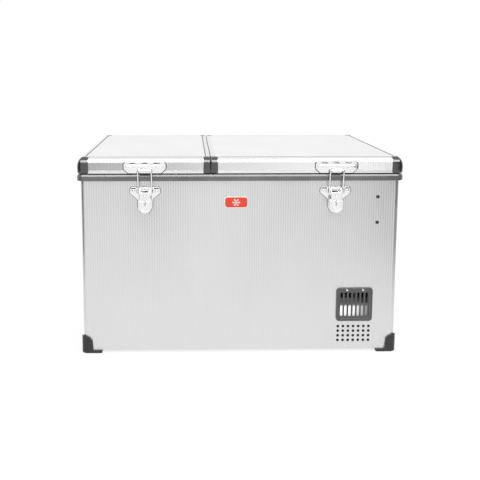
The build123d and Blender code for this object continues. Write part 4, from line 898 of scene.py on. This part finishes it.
def make_handles():
    """On each end a back plate with two lugs, and a drop handle: a bent rod in a ribbed grip."""
    pivot = joint_mm("right_handle_hinge")
    plate, lug_y, lug_thick, pin_r = panel(136, 92, 10), 56, 5, 4.15
    drop, half, rod_r, rib_r, groove_r = 50.0, 48.0, 4.0, 8.2, 7.5
    foot = RIGHT_END + 2
    lug = ((foot, -12, 1), (pivot.x, -8, 6), (pivot.x + 8, 0, 7), (pivot.x, 8, 6), (foot, 12, 1))
    ribs = []
    for y in range(-28, 29, 4):
        ribs += [(rib_r, y - 1.4), (groove_r, y - 0.7), (groove_r, y + 0.7), (rib_r, y + 1.4)]
    ends = [(5.2, 34), (7.4, 33.4), (rib_r, 31.5)]
    profile = [(r, -y) for r, y in ends] + ribs + ends[::-1]
    plates = Shape()
    for side, away in (("left", -1), ("right", 1)):
        x = away * pivot.x
        place = facing(side, away * RIGHT_END, 0, pivot.z - 22)
        plates.plate([plate], 2.2, 0.7, place)
        plates.plate([plate, panel(118, 74, 8)], 3.0, 1.0, place)
        outline = rounded([(away * u, pivot.z + v, radius) for u, v, radius in lug])
        for y in (-lug_y, lug_y):
            place = facing("front", 0, y + lug_thick / 2, 0)
            plates.plate([outline, circle(pin_r, x, pivot.z)], lug_thick, 0.8, place)
        bar, grip, handle = Shape(), Shape(), f"{side}_handle"
        run = [(x, -half - 11, pivot.z), (x, -half, pivot.z), (x, -half, pivot.z - drop)]
        run += [(x, -y, z) for x, y, z in reversed(run)]
        bar.wires([bent(run, 7, 8)], rod_r, resolution=6)
        bar.done(f"{handle}_rod", "chrome", f"{handle}_bar", body=handle)
        grip.lathe(profile, facing("back", x, 0, pivot.z - drop), 36)
        grip.done(f"{handle}_ribbed_grip", "soft_rubber", f"{handle}_grip", sharp=50, body=handle)
    plates.done("handle_back_plates", "chrome", "handle_plates")


# ---- baskets ----


def make_basket(side):
    """A coated wire basket: a thick rim, level hoops, wires down and across the floor, and two grips."""
    low, high = box_mm(f"{side}_basket")
    size, middle = high - low, (low + high) / 2
    rim_r, wire_r, grip_r, corner, levels, spacing, grip_half = 2.6, 1.4, 2.0, 22.0, 9, 20, 42
    inner, top, rise = 3 * wire_r, high.z - rim_r, (size.z - 24) / levels

    def hoop(inset, z):
        outline = panel(size.x - 2 * inset, size.y - 2 * inset, corner - inset, middle.x, middle.y)
        return [(x, y, z) for x, y in outline]

    shape = Shape()
    shape.wires([hoop(rim_r, top)], rim_r, closed=True)
    hoops = [hoop(wire_r, low.z + 20 + rise * i) for i in range(levels)]
    shape.wires(hoops, wire_r, closed=True, resolution=2)
    uprights = []
    for axis, level in ((0, low.z + 3 * wire_r), (1, low.z + wire_r)):
        spread, near, far = size[axis] - 2 * corner, low[1 - axis] + inner, high[1 - axis] - inner
        count = round(spread / spacing)
        for i in range(count + 1):
            at = low[axis] + corner + spread * i / count
            run = ((near, top), (near, level), (far, level), (far, top))
            uprights.append(bent([(at, a, z) if axis == 0 else (a, at, z) for a, z in run], 12))
    shape.wires(uprights, wire_r, resolution=2)
    grips = []
    for y in (low.y + inner + 3.2, high.y - inner - 3.2):
        left = [(middle.x - grip_half, y, high.z - 6), (middle.x - grip_half + 8, y, high.z - 30)]
        grips.append(bent(left + [(2 * middle.x - x, y, z) for x, y, z in reversed(left)], 8))
    shape.wires(grips, grip_r)
    shape.done(f"{side}_wire_basket", "basket_steel", f"{side}_basket", sharp=60, body=f"{side}_basket")


# ---- control end ----


def segment_digit(shape, place, height):
    """Seven bars of a figure eight, as an unlit display shows."""
    half, thick, width, gap = height / 2, height * 0.10, height * 0.5, height * 0.13
    for v in (half, 0, -half):
        shape.plate([panel(width - gap, thick, thick * 0.3, 0, v)], 0.2, 0.05, place)
    for v in (half / 2, -half / 2):
        for u in (-width / 2, width / 2):
            shape.plate([panel(thick, half - gap, thick * 0.3, u, v)], 0.2, 0.05, place)


def print_sign(marks, name, place):
    """The sign above a button: a ring with a bar across its top, three dots, or an arrow head."""
    if name == "power_button":
        marks.plate([circle(3.0, steps=24), circle(2.2, steps=24)], 0.2, 0.05, place)
        marks.plate([panel(0.9, 3.2, 0.3, 0, 2.2)], 0.25, 0.05, place)
    elif name == "set_button":
        for u in (-2.6, 0, 2.6):
            marks.plate([circle(0.8, u, 0, 12)], 0.2, 0.05, place)
    else:
        tip = 2.4 if name == "up_button" else -2.4
        marks.plate([[(-2.8, -tip), (2.8, -tip), (0, tip)]], 0.2, 0.05, place)


def make_control_end():
    """The unlit digits, printed marks, dished buttons and status lamps of the control panel."""
    low, high = box_mm("display_window")
    middle, face, panel_face = (low + high) / 2, high.x - 0.05, box_mm("control_panel")[1].x
    digits = Shape()
    for u in (-30, -17, 15, 28):
        segment_digit(digits, facing("right", face, middle.y + u, middle.z + 6), 20)
    digits.done("display_segments", "display_glass", look="segment_grey")
    marks = Shape()
    for u in (-24, 22):
        marks.plate([panel(26, 1.6, 0.7, u, -14)], 0.2, 0.05, facing("right", face, middle.y, middle.z))
    for name in ("power_button", "set_button", "down_button", "up_button"):
        button_low, button_high = box_mm(name)
        spot = (button_low + button_high) / 2
        print_sign(marks, name, facing("right", panel_face - 0.05, spot.y, spot.z + 12))
        dish = Shape()
        hollow = [(4.4, -0.1), (4.4, 0.25), (3.9, 0.4), (2.2, 0.15), (0.4, 0.1)]
        dish.lathe(hollow, facing("right", button_high.x - 0.05, spot.y, spot.z), 24)
        dish.done(f"{name}_dish", "button_plastic", body=name)
    marks.done("control_marks", "display_glass", look="pale_print")
    lamps = Shape()
    for u in (-48, -41):
        lamps.rivet(facing("right", panel_face - 0.1, middle.y + u, middle.z - 46), 1.6, 0.9)
    lamps.done("status_lamps", "display_glass", look="lamp_green")


def make_socket_parts():
    """The centre contact of the 12 V socket and the thin sleeve that lines it."""
    low, high = box_mm("dc_socket")
    middle, floor_x = (low + high) / 2, high.x - 38
    stud = [(4.2, 0), (4.2, 2), (2.2, 3.4), (0.6, 3.8)]
    contact = Shape()
    contact.lathe(stud, facing("right", floor_x, middle.y, middle.z), 20)
    contact.done("socket_contact", "pin_steel")
    sleeve = Shape()
    sleeve.plate([circle(10.45), circle(10.2)], 34, 0.05, facing("right", floor_x + 2, middle.y, middle.z))
    sleeve.done("socket_sleeve", "pin_steel")


# ---- inside of the compartments ----


def make_liner_fittings(side):
    """A lamp cover and a probe guard on each compartment's rear wall."""
    low, high = box_mm(f"{side}_liner")
    x, wall, guard_x = (low.x + high.x) / 2, high.y - 18, 62
    lamp = Shape()
    lamp.plate([panel(64, 15, 7)], 2.6, 1.1, facing("front", x, wall, high.z - 24))
    lamp.done(f"{side}_lamp_cover", "liner_plastic", look="lamp_white")
    guard = Shape()
    slots = [panel(22, 2.2, 1.0, 0, v) for v in (-7.5, -2.5, 2.5, 7.5)]
    guard.plate([panel(34, 26, 4)] + slots, 2.8, 0.8, facing("front", x + guard_x, wall, high.z - 30))
    guard.done(f"{side}_probe_guard", "liner_plastic")


# ---- stage, in metres ----

LAMPS = (  # name, place, width, depth and power
    ("strip", (0.0, -1.35, 2.4), 2.4, 0.5, 14.0),
    ("left_box", (-2.2, -1.9, 1.5), 1.0, 1.4, 3.0),
    ("right_box", (2.4, -2.0, 1.4), 1.0, 1.4, 5.0),
)


def stage_sheet(name, corners, look):
    """One flat sheet of the stage."""
    mesh = bpy.data.meshes.new(name)
    mesh.from_pydata(corners, [], [(0, 1, 2, 3)])
    mesh.materials.append(look)
    sheet = linked(name, mesh)
    return sheet


def make_floor():
    """A plain pale floor that gives some light of its own, just under the feet."""
    g = Graph("floor")
    tone = g.span(g.noise(3, 2), 0.3, 0.7)
    g.set(Base_Color=g.blend(tone, grey(0.25), grey(0.27)))
    g.set(Roughness=0.9, Specular_IOR_Level=0.0, Emission_Color=grey(1), Emission_Strength=0.76)
    reach, level = 14.0, -0.3 * MM
    corners = [(x * reach, y * reach, level) for x, y in ((-1, -1), (1, -1), (1, 1), (-1, 1))]
    stage_sheet("floor", corners, g.material)


def make_cards():
    """Cards that only reflections see: two dark ones that draw edges on bright metal, and a bright one."""
    dark, bright = Graph("dark_card"), Graph("bright_card")
    dark.set(Base_Color=grey(0.02), Roughness=0.9)
    bright.set(Base_Color=grey(0), Emission_Color=grey(1), Emission_Strength=7.5)
    near, far, tall, half, low, high = -1.12, -0.22, 1.1, 2.2, (-1.9, 1.9), (-1.2, 2.5)
    cards = []
    for name, near_x, far_x in (("left_card", -0.84, -1.14), ("right_card", 0.74, 1.2)):
        corners = [(near_x, near, 0), (far_x, far, 0), (far_x, far, tall), (near_x, near, tall)]
        cards.append(stage_sheet(name, corners, dark.material))
    corners = [(-half, *low), (half, *low), (half, *high), (-half, *high)]
    cards.append(stage_sheet("bright_card", corners, bright.material))
    for card in cards:
        card.visible_camera = card.visible_diffuse = card.visible_shadow = False


def make_lights():
    """A white surround and soft lamps, all aimed at the middle of the case."""
    world = bpy.data.worlds.new("surround")
    world.use_nodes = True
    surround = world.node_tree.nodes["Background"].inputs
    surround["Color"].default_value = grey(1)
    surround["Strength"].default_value = 1.0
    bpy.context.scene.world = world
    bpy.context.scene.view_settings.view_transform = "Standard"
    for name, spot, wide, deep, power in LAMPS:
        light = bpy.data.lights.new(name, "AREA")
        light.shape = "RECTANGLE"
        light.size, light.size_y = wide, deep
        light.energy = power
        lamp = linked(name, light)
        lamp.location = spot
        aim = Vector((0, 0, 0.3)) - lamp.location
        lamp.rotation_euler = aim.to_track_quat("-Z", "Y").to_euler()


def make_camera():
    """Slightly above the fridge and left of its middle, with a little shift, as a product shot has."""
    tilt_down, turn_right = 0.1282, 0.0152
    data = bpy.data.cameras.new("camera")
    data.sensor_width = 36.0
    data.lens = 50.68
    data.shift_x = 0.0833
    data.shift_y = -0.1875
    data.clip_end = 60.0
    camera = linked("camera", data)
    camera.location = (-0.1177, -1.7925, 0.6886)
    camera.rotation_mode = "XYZ"
    camera.rotation_euler = (pi / 2 - tilt_down, 0, -turn_right)
    bpy.context.scene.camera = camera


dress_cad_nodes()
for side in SIDES:
    make_latch_base(side)
    make_latch_lever(side)
    make_latch_bail(side)
    make_latch_keeper(side)
    make_lid_rails(side)
    make_corner_caps(side)
    make_panel_bead(side)
    make_gasket(side)
    make_basket(side)
    make_liner_fittings(side)
make_seam_strip()
make_rim_edge()
make_front_grille()
make_fin_pack()
make_side_grille()
make_badge()
make_screws()
make_hinge_screws()
make_handles()
make_control_end()
make_socket_parts()
make_floor()
make_cards()
make_lights()
make_camera()
